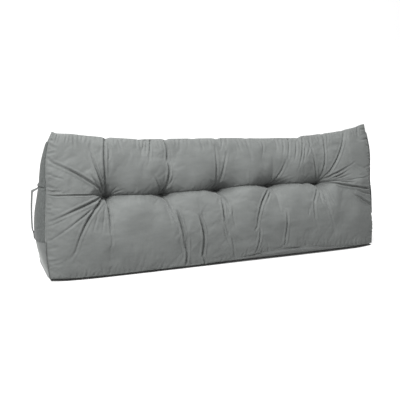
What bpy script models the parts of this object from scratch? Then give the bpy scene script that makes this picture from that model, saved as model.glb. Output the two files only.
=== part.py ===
"""Headboard wedge cushion, filled and tufted, standing on its base.

+Z is up, the tufted front faces -Y and the width runs along X. The origin lies on the
floor under the middle of the cushion. Every size is in metres.
"""

from collections import namedtuple

import bpy
import numpy as np
from mathutils import Vector
from mathutils.bvhtree import BVHTree

# The wedge: width between the end seams, height at the corner ears, depth of the base
WIDTH = 1.40
HEIGHT = 0.505
BASE_DEPTH = 0.20
RIDGE_SETBACK = 0.152
FACE_LENGTH = float(np.hypot(RIDGE_SETBACK, HEIGHT))

# How the filling swells each panel beyond the straight line between its seams
LOWER_CROWN = 0.050
UPPER_CROWN = 0.036
SIDE_CROWN = 0.046
BACK_CROWN = 0.024
LEFT_END_CROWN = 0.0215
RIGHT_END_CROWN = 0.038
END_FULL_WIDTH = 0.11
END_FULLNESS = 0.75
BASE_BOW = 0.022
BACK_BOW = 0.011
BOW_POWER = 10
SEAM_ROUNDING = 0.13

# How soon each panel's crown rises from its first seam and falls to its second: less is sooner
Swell = namedtuple("Swell", "rise fall")
LOWER_SWELL = Swell(0.85, 0.5)
UPPER_SWELL = Swell(0.75, 0.5)
SIDE_SWELL = Swell(0.6, 0.6)
BACK_SWELL = Swell(0.6, 0.75)

# How high the lower seams lie above the floor
FRONT_SEAM_LIFT = 0.005
RIGHT_SEAM_LIFT = 0.009
RIGHT_LIFT_FROM = 0.15
RIGHT_LIFT_OVER = 0.4
BACK_SEAM_LIFT = 0.014
BACK_SEAM_IN = 0.006
BASE_EDGE = 0.05

# How far the two end seams are drawn in towards the middle, at shares of the way up
DRAWN_IN_POWER = 8
EndSeam = namedtuple("EndSeam", "share left right")
END_SEAMS = (
    EndSeam(0.00, 0.016, 0.012),
    EndSeam(0.06, 0.003, 0.009),
    EndSeam(0.16, 0.000, 0.007),
    EndSeam(0.28, 0.001, 0.012),
    EndSeam(0.40, 0.005, 0.014),
    EndSeam(0.52, 0.010, 0.017),
    EndSeam(0.64, 0.014, 0.012),
    EndSeam(0.78, 0.016, 0.008),
    EndSeam(0.89, 0.026, 0.015),
    EndSeam(1.00, 0.045, 0.023),
)

# The channel of tucks across the front
CHANNEL_SUNK = 0.020
CHANNEL_OUT = -0.020
TUCK_REACH = 0.055
OUTER_REACH = 0.11
OUTER_MOST = 0.7
VALLEY_POWER = 3.6

# Each tuck: place along the width, height up the face, how far it is pulled in
Tuck = namedtuple("Tuck", "along up sunk")
TUCKS = (
    Tuck(-0.469, 0.288, 0.058),
    Tuck(-0.246, 0.287, 0.054),
    Tuck(-0.016, 0.292, 0.058),
    Tuck(0.219, 0.290, 0.060),
    Tuck(0.440, 0.285, 0.058),
)

# The ridge seam sags between its two corner ears, and leans back as it sags
RIDGE_LEAN = 0.25
Ridge = namedtuple("Ridge", "along drop")
RIDGE = (
    Ridge(-0.700, 0.000),
    Ridge(-0.670, 0.008),
    Ridge(-0.580, 0.014),
    Ridge(-0.430, 0.032),
    Ridge(-0.240, 0.044),
    Ridge(0.000, 0.050),
    Ridge(0.200, 0.057),
    Ridge(0.320, 0.060),
    Ridge(0.460, 0.050),
    Ridge(0.600, 0.032),
    Ridge(0.670, 0.020),
    Ridge(0.700, 0.010),
)

# Main folds of the front: from one point to another, bowed sideways, with a depth and a half width
Fold = namedtuple("Fold", "along up to_along to_up bow depth width")
FOLDS = (
    Fold(-0.469, 0.300, -0.476, 0.500, 0.004, 0.020, 0.014),
    Fold(-0.476, 0.302, -0.545, 0.445, 0.000, 0.014, 0.013),
    Fold(-0.482, 0.296, -0.690, 0.405, 0.008, 0.020, 0.015),
    Fold(-0.484, 0.283, -0.700, 0.215, 0.006, 0.018, 0.015),
    Fold(-0.476, 0.272, -0.610, 0.080, -0.006, 0.020, 0.015),
    Fold(-0.468, 0.270, -0.462, 0.130, 0.006, 0.011, 0.014),
    Fold(-0.246, 0.300, -0.243, 0.480, -0.012, 0.016, 0.013),
    Fold(-0.244, 0.270, -0.182, 0.010, 0.010, 0.018, 0.014),
    Fold(-0.136, 0.240, -0.116, 0.004, 0.006, 0.018, 0.014),
    Fold(-0.016, 0.305, -0.036, 0.430, 0.004, 0.016, 0.013),
    Fold(-0.014, 0.272, 0.014, 0.020, 0.008, 0.017, 0.014),
    Fold(0.216, 0.272, 0.110, 0.010, -0.014, 0.018, 0.014),
    Fold(0.224, 0.304, 0.280, 0.430, 0.006, 0.013, 0.013),
    Fold(0.251, 0.190, 0.245, 0.020, 0.000, 0.011, 0.014),
    Fold(0.436, 0.302, 0.372, 0.460, 0.004, 0.014, 0.013),
    Fold(0.442, 0.302, 0.458, 0.450, 0.000, 0.014, 0.013),
    Fold(0.450, 0.296, 0.565, 0.425, -0.012, 0.016, 0.014),
    Fold(0.454, 0.283, 0.690, 0.240, 0.008, 0.019, 0.015),
    Fold(0.446, 0.270, 0.480, 0.080, 0.000, 0.014, 0.014),
)
FOLD_RISE = 0.12
FOLD_SPREAD = 0.4
SHOULDER = 0.45
SHOULDER_OFFSET = 1.8
SEAM_HOLD = 0.03

# Grid of the cushion: stations along the width, and rows at a share of the way up front and back
STATION_STEP = 0.0135
ROW_STEP = 0.013
Row = namedtuple("Row", "front back")
ROWS = (
    Row(0.000, 0.000),
    Row(0.244, 0.175),
    Row(0.300, 0.260),
    Row(0.385, 0.370),
    Row(0.468, 0.475),
    Row(0.547, 0.580),
    Row(0.640, 0.680),
    Row(0.740, 0.770),
    Row(0.845, 0.860),
    Row(0.925, 0.925),
    Row(1.000, 1.000),
)
CHANNEL_ROW = 0.547
FRONT_SPLIT = 4
END_COLUMNS = np.array((0.0, 0.036, 0.22, 0.5, 0.78, 0.97, 1.0))

# The end panels: sheets of flat cloth over the domed ends, stopping short of the floor
PANEL_THICKNESS = 0.002
GAP = 0.00042
PANEL_FIRST_ROW = 1
OFF_FLOOR = 0.16

# The strap handle on the left end
STRAP_WIDTH = 0.025
STRAP_THICKNESS = 0.0025
STRAP_Y = 0.150
STRAP_LOW = 0.112
STRAP_HIGH = 0.318
STRAP_TAB = 0.016
STRAP_RISE = 0.022
STRAP_OUT = 0.7300
STRAP_BOW = 0.005
STRAP_SEAT = 0.0004
STRAP_STEPS = 24


def smooth_curve(places, values, at):
    """Values of a smooth curve through the rows of a table."""
    places = np.asarray(places, float)
    values = np.asarray(values, float)
    slopes = np.gradient(values, places)
    at = np.clip(at, places[0], places[-1])
    row = np.clip(np.searchsorted(places, at) - 1, 0, len(places) - 2)
    step = places[row + 1] - places[row]
    part = (at - places[row]) / step
    return (
        (2 * part**3 - 3 * part**2 + 1) * values[row]
        + (part**3 - 2 * part**2 + part) * step * slopes[row]
        + (3 * part**2 - 2 * part**3) * values[row + 1]
        + (part**3 - part**2) * step * slopes[row + 1]
    )


def ease(part):
    """0 to 1 with a soft start and a soft end."""
    part = np.clip(part, 0.0, 1.0)
    return part * part * (3 - 2 * part)


def swell(part, powers):
    """A crown from 0 to 1 and back, rising as part**rise and falling as (1 - part)**fall."""
    part = np.clip(part, 0.0, 1.0)
    rise, fall = powers
    top = rise / (rise + fall)
    return part**rise * (1 - part) ** fall / (top**rise * (1 - top) ** fall)


def beside_seam(along):
    """1 over the middle, rounding down to 0 at both end seams."""
    to_seam = np.clip((WIDTH / 2 - np.abs(along)) / SEAM_ROUNDING, 0.0, 1.0)
    return np.sqrt(1 - (1 - to_seam) ** 2)


def bowed(along):
    """1 over the middle of a long seam and 0 at its corners."""
    return 1 - np.abs(2 * along / WIDTH) ** BOW_POWER


def front_seam(along):
    """(y, z) of the seam between the front and the base."""
    lift = FRONT_SEAM_LIFT + RIGHT_SEAM_LIFT * ease((along - RIGHT_LIFT_FROM) / RIGHT_LIFT_OVER)
    return -BASE_BOW * bowed(along), lift


def ridge_seam(along):
    """(y, z) of the seam along the ridge."""
    drop = smooth_curve([r.along for r in RIDGE], [r.drop for r in RIDGE], along)
    return RIDGE_SETBACK + RIDGE_LEAN * drop, HEIGHT - drop


def back_seam(along):
    """(y, z) of the seam between the back and the base."""
    y = BASE_DEPTH - BACK_SEAM_IN + BACK_BOW * bowed(along)
    return y, BACK_SEAM_LIFT + 0 * along


def channel_share(along):
    """How far up the face the channel runs, as a share of it."""
    return smooth_curve([t.along for t in TUCKS], [t.up for t in TUCKS], along) / FACE_LENGTH


def outer_share(along):
    """0 between the first and the last tuck, growing to 1 towards the ends."""
    beyond = np.maximum(TUCKS[0].along - along, along - TUCKS[-1].along)
    return ease(beyond / OUTER_REACH)


def tuck_pull(along):
    """How far the channel is pulled in below the straight face, along the width."""
    pull = np.full(np.shape(along), CHANNEL_SUNK)
    for tuck in TUCKS:
        near = np.exp(-np.abs(along - tuck.along) / TUCK_REACH)
        pull = np.maximum(pull, CHANNEL_SUNK + (tuck.sunk - CHANNEL_SUNK) * near)
    outside = outer_share(along)
    return pull * (1 - outside) + CHANNEL_OUT * outside


def fold_height(fold, along, up):
    """A trough with a soft shoulder on each side, fading towards the fold's far end."""
    reach_along = fold.to_along - fold.along
    reach_up = fold.to_up - fold.up
    length = np.hypot(reach_along, reach_up)
    part = ((along - fold.along) * reach_along + (up - fold.up) * reach_up) / length**2
    side = ((up - fold.up) * reach_along - (along - fold.along) * reach_up) / length
    inside = np.clip(part, 0.0, 1.0)
    side = side - fold.bow * 4 * inside * (1 - inside)
    widths = side / (fold.width * (1 + FOLD_SPREAD * (inside - 0.5)))
    fade = ease(part / FOLD_RISE) * ease(2 - 2 * part)
    trough = np.exp(-(widths**2))
    left = np.exp(-((widths + SHOULDER_OFFSET) ** 2))
    right = np.exp(-((widths - SHOULDER_OFFSET) ** 2))
    return fold.depth * fade * (SHOULDER * (left + right) - trough)


def all_folds(along, up):
    """The folds' height, averaged over one cell of the grid so that it stays smooth there."""
    total = np.zeros(np.broadcast(along, up).shape)
    spots = (-1 / 3, 0, 1 / 3)
    for across in spots:
        for upward in spots:
            for fold in FOLDS:
                total += fold_height(fold, along + across * STATION_STEP, up + upward * ROW_STEP)
    return total / len(spots) ** 2


def front_height(along, share):
    """Height of the front above the straight face, at a share of the way up it."""
    channel = channel_share(along)
    pull = tuck_pull(along)
    low = np.clip(share / channel, 0.0, 1.0)
    high = np.clip((1 - share) / (1 - channel), 0.0, 1.0)
    lower = LOWER_CROWN * swell(low, LOWER_SWELL) - pull * low**VALLEY_POWER
    upper = UPPER_CROWN * swell(high, UPPER_SWELL) - pull * high**VALLEY_POWER
    rolls = np.where(share < channel, lower, upper)
    whole = SIDE_CROWN * swell(share, SIDE_SWELL)
    outside = OUTER_MOST * outer_share(along)
    held = np.clip(np.minimum(share, 1 - share) / SEAM_HOLD, 0, 1)
    folds = held * all_folds(along, share * FACE_LENGTH)
    return (rolls * (1 - outside) + whole * outside + folds) * beside_seam(along)


def drawn_in(along, share):
    """Place along X of a station, drawn in where it nears an end seam."""
    shares = [seam.share for seam in END_SEAMS]
    left = smooth_curve(shares, [seam.left for seam in END_SEAMS], share)
    right = smooth_curve(shares, [seam.right for seam in END_SEAMS], share)
    inset = np.where(along < 0, left, right)
    return along - np.sign(along) * inset * np.abs(2 * along / WIDTH) ** DRAWN_IN_POWER


def front_points(along, row):
    """Points of the tufted front: row 0 is its bottom seam, 1 the ridge, CHANNEL_ROW the channel."""
    along, row = np.broadcast_arrays(along, row)
    tent = np.minimum(row / CHANNEL_ROW, (1 - row) / (1 - CHANNEL_ROW))
    share = row + (channel_share(along) - CHANNEL_ROW) * tent
    low_y, low_z = front_seam(along)
    top_y, top_z = ridge_seam(along)
    lean = np.arctan2(top_y - low_y, top_z - low_z)
    height = front_height(along, share)
    y = low_y + (top_y - low_y) * share - height * np.cos(lean)
    z = low_z + (top_z - low_z) * share + height * np.sin(lean)
    return np.stack([drawn_in(along, share), y, z], -1)


def back_points(along, share):
    """Points of the plain back, share 0 at its bottom seam and 1 at the ridge."""
    along, share = np.broadcast_arrays(along, share)
    low_y, low_z = back_seam(along)
    top_y, top_z = ridge_seam(along)
    full = BACK_CROWN * swell(share, BACK_SWELL) * beside_seam(along)
    y = low_y + (top_y - low_y) * share + full
    z = low_z + (top_z - low_z) * share
    return np.stack([drawn_in(along, share), y, z], -1)


def base_points(along, share):
    """Points of the base from the back seam to the front seam, flat on the floor between."""
    along, share = np.broadcast_arrays(along, share)
    back_y, back_z = back_seam(along)
    front_y, front_z = front_seam(along)
    from_edge = np.minimum(share, 1 - share) / BASE_EDGE
    y = back_y + (front_y - back_y) * share
    z = np.where(share < 0.5, back_z, front_z) * (1 - np.clip(from_edge, 0, 1))
    return np.stack([drawn_in(along, np.zeros(share.shape)), y, z], -1)


def split(rows, parts):
    """Each step of a row list cut into equal parts."""
    steps = np.linspace(0, len(rows) - 1, (len(rows) - 1) * parts + 1)
    return np.interp(steps, np.arange(len(rows)), rows)


def stations():
    """Places along the width, evenly spaced from each end seam or tuck to the next."""
    stops = [-WIDTH / 2] + [tuck.along for tuck in TUCKS] + [WIDTH / 2]
    places = [np.array(stops[:1])]
    for here, after in zip(stops, stops[1:]):
        steps = round((after - here) / STATION_STEP)
        places.append(np.linspace(here, after, steps + 1)[1:])
    return np.concatenate(places)


def end_grid(side):
    """Rows of points over a domed end, each running from the front seam to the back seam."""
    along = np.array(side * WIDTH / 2)
    front = front_points(along, np.array([row.front for row in ROWS[:-1]]))
    back = back_points(along, np.array([row.back for row in ROWS[:-1]]))
    columns = END_COLUMNS[None, :, None]
    grid = front[:, None] + (back - front)[:, None] * columns
    width = np.linalg.norm(back - front, axis=-1)[:, None]
    fullness = (4 * END_COLUMNS * (1 - END_COLUMNS)) ** END_FULLNESS
    taper = np.minimum(width / END_FULL_WIDTH, 1.0)
    off_floor = np.sin(np.pi / 2 * np.clip(grid[..., 2] / OFF_FLOOR, 0, 1))
    crown = LEFT_END_CROWN if side < 0 else RIGHT_END_CROWN
    grid[..., 0] += side * crown * fullness * taper * off_floor
    grid[0] = base_points(along, 1 - END_COLUMNS)
    return grid


def add_mesh(name, points, faces, material):
    mesh = bpy.data.meshes.new(name)
    mesh.from_pydata([tuple(p) for p in points], [], faces)
    mesh.materials.append(material)
    mesh.shade_smooth()
    made = bpy.data.objects.new(name, mesh)
    bpy.context.scene.collection.objects.link(made)
    return made


def cloth_material(name, colour, roughness):
    material = bpy.data.materials.new(name)
    material.use_nodes = True
    shader = material.node_tree.nodes["Principled BSDF"]
    shader.inputs["Base Color"].default_value = (*colour, 1)
    shader.inputs["Roughness"].default_value = roughness
    shader.inputs["Metallic"].default_value = 0
    return material


def mark_seams(mesh, seams):
    """Marks the edges that run along a seam as sharp."""
    for edge in mesh.edges:
        ends = set(edge.vertices)
        edge.use_edge_sharp = any(ends <= seam for seam in seams)


def build_cushion(material):
    """The filled cushion: a ring of points at each station, closed by its two domed ends."""
    places = stations()[:, None]
    up_front = split([row.front for row in ROWS], FRONT_SPLIT)
    down_back = np.array([row.back for row in ROWS])[-2::-1]
    over_base = (1 - END_COLUMNS)[::-1][1:-1]
    parts = [front_points(places, up_front), back_points(places, down_back)]
    parts.append(base_points(places, over_base))
    rings = np.concatenate(parts, axis=1)
    ring_count, count = rings.shape[:2]
    points = list(rings.reshape(-1, 3))
    faces = []
    for ring in range(ring_count - 1):
        for spot in range(count):
            after = (spot + 1) % count
            low, high = ring * count, (ring + 1) * count
            faces.append((low + spot, high + spot, high + after, low + after))
    for side in (-1, 1):
        close_end(side, points, faces, count, ring_count)
    made = add_mesh("cushion", points, faces, material)
    ridge_spot = len(up_front) - 1
    seam_spots = (0, ridge_spot, ridge_spot + len(down_back))
    seams = [set(range(spot, ring_count * count, count)) for spot in seam_spots]
    seams += [set(range(count)), set(range((ring_count - 1) * count, ring_count * count))]
    mark_seams(made.data, seams)
    return made


def stitch(left, right):
    """Triangles between two chains of points that run the same way."""
    faces = []
    i, j = 0, 0
    last_left, last_right = len(left) - 1, len(right) - 1
    while i < last_left or j < last_right:
        if i < last_left and (j == last_right or i * last_right <= j * last_left):
            faces.append((left[i], left[i + 1], right[j]))
            i += 1
        else:
            faces.append((left[i], right[j + 1], right[j]))
            j += 1
    return faces


def close_end(side, points, faces, count, ring_count):
    """Adds the grid of one domed end to the cushion's points and faces."""
    first = 0 if side < 0 else (ring_count - 1) * count
    last_row, last_column = len(ROWS) - 1, len(END_COLUMNS) - 1
    ridge = first + last_row * FRONT_SPLIT
    grid = end_grid(side)
    chains = []
    for column in range(last_column + 1):
        if column == 0:
            chains.append(list(range(first, ridge)))
        elif column == last_column:
            chains.append([ridge + last_row - row for row in range(last_row)])
        else:
            chains.append([first + count - column])
            for row in range(1, last_row):
                chains[-1].append(len(points))
                points.append(grid[row, column])
    made = []
    for column in range(last_column):
        cut = FRONT_SPLIT if column == 0 else 1
        left, right = chains[column] + [ridge], chains[column + 1]
        for row in range(last_row):
            made += stitch(left[row * cut : (row + 1) * cut + 1], right[row : row + 2])
    faces.extend(made if side < 0 else [face[::-1] for face in made])


def grid_triangles(rows, columns):
    """The triangles of a grid of points, cut the same way as those of the domed ends."""
    faces = []
    for row in range(rows - 1):
        for column in range(columns - 1):
            low = row * columns + column
            faces += stitch([low, low + columns], [low + 1, low + columns + 1])
    return faces


def offsets_out(side, grid):
    """For each point of an end grid, the step that moves every facet round it out by 1."""
    flat = grid.reshape(-1, 3)
    around = [[] for _ in flat]
    for face in grid_triangles(*grid.shape[:2]):
        a, b, c = flat[list(face)]
        normal = np.cross(b - a, c - a)
        normal *= side * np.sign(normal[0]) / np.linalg.norm(normal)
        for corner in face:
            around[corner].append(normal)
    steps = []
    for normals in around:
        mean = np.sum(normals, axis=0)
        mean /= np.linalg.norm(mean)
        steps.append(mean / min(mean @ normal for normal in normals))
    return np.array(steps).reshape(grid.shape)


def build_end_panel(name, side, material):
    """One end panel: a sheet that follows the domed end just clear of the cushion."""
    grid = end_grid(side)
    outwards = offsets_out(side, grid)[PANEL_FIRST_ROW:, 1:-1]
    grid = grid[PANEL_FIRST_ROW:, 1:-1]
    inner = grid + outwards * GAP
    outer = grid + outwards * (GAP + PANEL_THICKNESS)
    rows, columns = grid.shape[:2]
    points = np.concatenate([inner.reshape(-1, 3), outer.reshape(-1, 3)])
    size = rows * columns
    faces = []
    for face in grid_triangles(rows, columns):
        faces.append(face[::-1])
        faces.append(tuple(size + corner for corner in face))
    rim = [(0, c) for c in range(columns)]
    rim += [(r, columns - 1) for r in range(1, rows)]
    rim += [(rows - 1, c) for c in range(columns - 2, -1, -1)]
    rim += [(r, 0) for r in range(rows - 2, 0, -1)]
    corners = [r * columns + c for r, c in rim]
    for here, after in zip(corners, corners[1:] + corners[:1]):
        faces.append((here, after, size + after, size + here)[::-1])
    if side > 0:
        faces = [face[::-1] for face in faces]
    made = add_mesh(name, points, faces, material)
    mark_seams(made.data, [set(corners), {size + corner for corner in corners}])
    return made


def build_handle(panel, material):
    """The strap: two tabs lying on the end panel and a shallow bow between them, which reaches
    STRAP_OUT from the middle of the width."""
    graph = bpy.context.evaluated_depsgraph_get()
    surface = BVHTree.FromObject(panel, graph)
    heights = np.linspace(STRAP_LOW, STRAP_HIGH, STRAP_STEPS + 1)
    spots = STRAP_Y + STRAP_WIDTH * np.linspace(-0.5, 0.5, 3)
    middle = (STRAP_LOW + STRAP_HIGH) / 2
    rows = []
    for z in heights:
        touched = [surface.ray_cast(Vector((-WIDTH, y, z)), Vector((1, 0, 0)))[0] for y in spots]
        seat = min(hit.x for hit in touched) - STRAP_SEAT
        from_tab = min(z - STRAP_LOW, STRAP_HIGH - z) - STRAP_TAB
        bow = STRAP_BOW * ((z - middle) / (STRAP_HIGH - middle)) ** 2
        hung = STRAP_THICKNESS - STRAP_OUT + bow
        x = seat + min(hung - seat, 0.0) * ease(from_tab / STRAP_RISE)
        rows.append([(x, y, z) for y in spots])
    inner = np.array(rows)
    outer = inner - np.array((STRAP_THICKNESS, 0, 0))
    count = len(spots)
    size = inner.shape[0] * count
    points = np.concatenate([inner.reshape(-1, 3), outer.reshape(-1, 3)])
    faces = []
    for row in range(len(heights) - 1):
        for column in range(count - 1):
            a = row * count + column
            quad = (a, a + count, a + count + 1, a + 1)
            faces.append(quad[::-1])
            faces.append(tuple(size + corner for corner in quad))
        for a, turn in ((row * count, 1), (row * count + count - 1, -1)):
            faces.append((a, a + count, size + a + count, size + a)[::turn])
    for row, turn in ((0, -1), (len(heights) - 1, 1)):
        for column in range(count - 1):
            a = row * count + column
            faces.append((a, a + 1, size + a + 1, size + a)[::turn])
    made = add_mesh("handle_left", points, faces, material)
    made.data.set_sharp_from_angle(angle=np.radians(40))
    return made


def stand_on_origin(objects):
    """Moves everything by its location, so that the origin is under the middle on the floor."""
    corners = np.array([v.co for thing in objects for v in thing.data.vertices])
    low, high = corners.min(axis=0), corners.max(axis=0)
    for thing in objects:
        thing.location = (-(low[0] + high[0]) / 2, -(low[1] + high[1]) / 2, -low[2])


def main():
    for thing in list(bpy.data.objects):
        bpy.data.objects.remove(thing)
    front_cloth = cloth_material("grey_velvet", (0.235, 0.242, 0.238), 0.75)
    end_cloth = cloth_material("dark_mottled_cloth", (0.165, 0.170, 0.168), 0.90)
    webbing = cloth_material("grey_webbing", (0.120, 0.122, 0.121), 0.85)
    cushion = build_cushion(front_cloth)
    left = build_end_panel("end_panel_left", -1, end_cloth)
    right = build_end_panel("end_panel_right", 1, end_cloth)
    handle = build_handle(left, webbing)
    stand_on_origin([cushion, left, right, handle])


main()
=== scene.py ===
# %% [markdown]
# # A tufted headboard wedge
# The real object is a long filled cushion that leans against a headboard. Its front is one
# piece of grey velvet, pulled in at five tucks; its back and base are plain, a darker mottled
# cloth covers each end, and a webbing strap on the left end carries it.
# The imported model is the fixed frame. Everything here is dressed round it, in metres, with +Z
# up, the width along X and the tufted front facing -Y.

# %% Load the frame
from collections import namedtuple

import bpy
import numpy as np
from mathutils import Matrix, Vector
from mathutils.bvhtree import BVHTree


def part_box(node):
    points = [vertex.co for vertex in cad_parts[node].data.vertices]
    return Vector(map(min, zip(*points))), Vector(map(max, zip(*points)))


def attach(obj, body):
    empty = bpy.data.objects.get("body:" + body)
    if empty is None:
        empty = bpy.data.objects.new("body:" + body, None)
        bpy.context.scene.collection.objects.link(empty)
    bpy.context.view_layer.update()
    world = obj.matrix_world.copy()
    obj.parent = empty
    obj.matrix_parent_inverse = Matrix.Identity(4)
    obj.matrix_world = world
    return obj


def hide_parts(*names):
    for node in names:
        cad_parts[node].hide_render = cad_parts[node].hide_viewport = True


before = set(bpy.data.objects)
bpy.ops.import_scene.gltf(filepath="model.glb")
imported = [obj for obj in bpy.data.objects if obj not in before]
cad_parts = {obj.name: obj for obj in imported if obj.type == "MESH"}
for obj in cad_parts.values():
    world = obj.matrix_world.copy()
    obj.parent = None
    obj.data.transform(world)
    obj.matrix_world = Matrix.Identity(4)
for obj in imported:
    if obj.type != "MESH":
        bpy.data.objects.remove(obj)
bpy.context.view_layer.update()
print("nodes in the frame:", sorted(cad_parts))

# %% [markdown]
# ## Sizes of the wedge
# A cover maker starts from the cut panels: the width between the end seams, the height at the
# corner ears and the depth of the base. The solids in the frame are drawn from sizes with the
# same names. Here the tucks lie a little higher, the channel between them is shallower and the
# upper roll is flatter, as in the photograph, and the cloth is drawn far finer. Everything is
# drawn about the middle of the front's foot, and PLACE then moves it to where the solids lie.

# %% Panel sizes and fullness
WIDTH = 1.40
HEIGHT = 0.505
BASE_DEPTH = 0.20
RIDGE_SETBACK = 0.152
FACE_LENGTH = float(np.hypot(RIDGE_SETBACK, HEIGHT))

Swell = namedtuple("Swell", "rise fall")
LOWER_CROWN = 0.050
LOWER_SWELL = Swell(0.85, 0.5)
UPPER_CROWN = 0.033
UPPER_SWELL = Swell(0.6, 0.4)
SIDE_CROWN = 0.046
SIDE_SWELL = Swell(0.6, 0.6)
BACK_CROWN = 0.024
BACK_SWELL = Swell(0.6, 0.75)
LEFT_END_CROWN = 0.0255
RIGHT_END_CROWN = 0.038
END_FULL_WIDTH = 0.11
END_FULLNESS = 0.75
SEAM_ROUNDING = 0.13

PLACE = np.array((0.0008, -0.0926, 0.0))
cushion_low, cushion_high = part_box("cushion")
print("the filled solid runs from", cushion_low, "to", cushion_high)

# %% [markdown]
# ## Curves
# Cloth between two seams never runs in a straight line. Three small curves draw all of the
# wedge: a smooth line through a short table, a soft step, and a swell from one seam to the
# other that can rise fast and fall slowly.

# %% Curve helpers
def smooth_curve(places, values, at):
    """A smooth curve through the rows of a table, or through the first axis of a net."""
    places = np.asarray(places, float)
    values = np.asarray(values, float)
    slopes = np.gradient(values, places, axis=0)
    at = np.clip(at, places[0], places[-1])
    row = np.clip(np.searchsorted(places, at) - 1, 0, len(places) - 2)
    shape = np.shape(at) + (1,) * (values.ndim - 1)
    step = np.reshape(places[row + 1] - places[row], shape)
    part = np.reshape(at - places[row], shape) / step
    return (
        (2 * part**3 - 3 * part**2 + 1) * values[row]
        + (part**3 - 2 * part**2 + part) * step * slopes[row]
        + (3 * part**2 - 2 * part**3) * values[row + 1]
        + (part**3 - part**2) * step * slopes[row + 1]
    )


def ease(part):
    """0 to 1 with a soft start and a soft end."""
    part = np.clip(part, 0.0, 1.0)
    return part * part * (3 - 2 * part)


def swell(part, powers):
    """A crown from 0 to 1 and back, rising as part**rise and falling as (1 - part)**fall."""
    part = np.clip(part, 0.0, 1.0)
    rise, fall = powers
    top = rise / (rise + fall)
    return part**rise * (1 - part) ** fall / (top**rise * (1 - top) ** fall)


fullest = LOWER_SWELL.rise / sum(LOWER_SWELL)
print("the lower roll is fullest at", round(fullest, 2), "of the way to the channel")

# %% [markdown]
# ## Seams
# The ridge seam sags between its two pointed ears, and the thread draws it down a little
# wherever a fold runs into it. The lower seams bow out over the middle, where the filling
# presses on them. They are lines, so each is a function that gives a height and a setback for
# a place along the width.

# %% The ridge
Ridge = namedtuple("Ridge", "along drop")
RIDGE = (
    Ridge(-0.700, 0.000),
    Ridge(-0.670, 0.007),
    Ridge(-0.641, 0.009),
    Ridge(-0.602, 0.011),
    Ridge(-0.552, 0.018),
    Ridge(-0.478, 0.027),
    Ridge(-0.400, 0.035),
    Ridge(-0.323, 0.042),
    Ridge(-0.244, 0.044),
    Ridge(-0.078, 0.048),
    Ridge(0.096, 0.053),
    Ridge(0.187, 0.058),
    Ridge(0.280, 0.060),
    Ridge(0.352, 0.061),
    Ridge(0.380, 0.055),
    Ridge(0.421, 0.053),
    Ridge(0.468, 0.048),
    Ridge(0.541, 0.042),
    Ridge(0.609, 0.030),
    Ridge(0.647, 0.023),
    Ridge(0.677, 0.013),
    Ridge(0.700, 0.010),
)
RIDGE_LEAN = 0.25
Notch = namedtuple("Notch", "along dip half_width")
NOTCHES = (
    Notch(-0.459, 0.006, 0.010),
    Notch(-0.330, 0.002, 0.012),
    Notch(-0.223, 0.005, 0.010),
    Notch(-0.110, 0.002, 0.014),
    Notch(-0.010, 0.004, 0.011),
    Notch(0.120, 0.002, 0.013),
    Notch(0.361, 0.004, 0.009),
    Notch(0.476, 0.003, 0.010),
    Notch(0.575, 0.002, 0.010),
)
print("the ridge sags", max(r.drop for r in RIDGE), "m below its left ear")

# %% [markdown]
# The seams at the foot are plain curves. They bow out over the middle, and the front one is
# lifted off the floor to the right of the middle, where a fold gathers the foot up.

# %% The three long seams
BASE_BOW = 0.022
BACK_BOW = 0.011
BOW_POWER = 10
FRONT_SEAM_LIFT = 0.010
RIGHT_SEAM_LIFT = 0.028
LIFT_FROM = -0.12
LIFT_TOP = 0.27
LIFT_TO = 0.70
BACK_SEAM_LIFT = 0.014
BACK_SEAM_IN = 0.006


def bowed(along):
    """1 over the middle of a long seam and 0 at its corners."""
    return 1 - np.abs(2 * along / WIDTH) ** BOW_POWER


def lifted(along):
    """0 over the left and at the right corner, 1 where a fold gathers the foot up between."""
    rising = (along - LIFT_FROM) / (LIFT_TOP - LIFT_FROM)
    return ease(rising) * ease((LIFT_TO - along) / (LIFT_TO - LIFT_TOP))


def front_seam(along):
    """(y, z) of the seam between the front and the base."""
    return -BASE_BOW * bowed(along), FRONT_SEAM_LIFT + RIGHT_SEAM_LIFT * lifted(along)


def ridge_seam(along):
    """(y, z) of the seam along the ridge, with the dips where folds run into it."""
    drop = smooth_curve([r.along for r in RIDGE], [r.drop for r in RIDGE], along)
    setback = RIDGE_SETBACK + RIDGE_LEAN * drop
    for notch in NOTCHES:
        drop = drop + notch.dip * np.exp(-(((along - notch.along) / notch.half_width) ** 2))
    return setback, HEIGHT - drop


def back_seam(along):
    """(y, z) of the seam between the back and the base."""
    y = BASE_DEPTH - BACK_SEAM_IN + BACK_BOW * bowed(along)
    return y, BACK_SEAM_LIFT + 0 * along


print("the front seam lies", round(-front_seam(0.0)[0], 3), "m in front of its corners")

# %% [markdown]
# The two end seams aren't straight either. The stitching draws each corner ear and each bottom
# corner in towards the middle, and a fold that runs into the seam leaves a shallow waist.

# %% The end seams
EndSeam = namedtuple("EndSeam", "share left right")
END_SEAMS = (
    EndSeam(0.00, 0.006, 0.012),
    EndSeam(0.06, 0.003, 0.009),
    EndSeam(0.16, 0.000, 0.007),
    EndSeam(0.28, 0.001, 0.012),
    EndSeam(0.40, 0.005, 0.014),
    EndSeam(0.52, 0.010, 0.017),
    EndSeam(0.64, 0.014, 0.012),
    EndSeam(0.78, 0.016, 0.008),
    EndSeam(0.89, 0.026, 0.015),
    EndSeam(1.00, 0.045, 0.023),
)
DRAWN_IN_POWER = 8


def drawn_in(along, share):
    """Place along X of a station, drawn in where it nears an end seam."""
    shares = [seam.share for seam in END_SEAMS]
    left = smooth_curve(shares, [seam.left for seam in END_SEAMS], share)
    right = smooth_curve(shares, [seam.right for seam in END_SEAMS], share)
    inset = np.where(along < 0, left, right)
    return along - np.sign(along) * inset * np.abs(2 * along / WIDTH) ** DRAWN_IN_POWER


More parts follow.
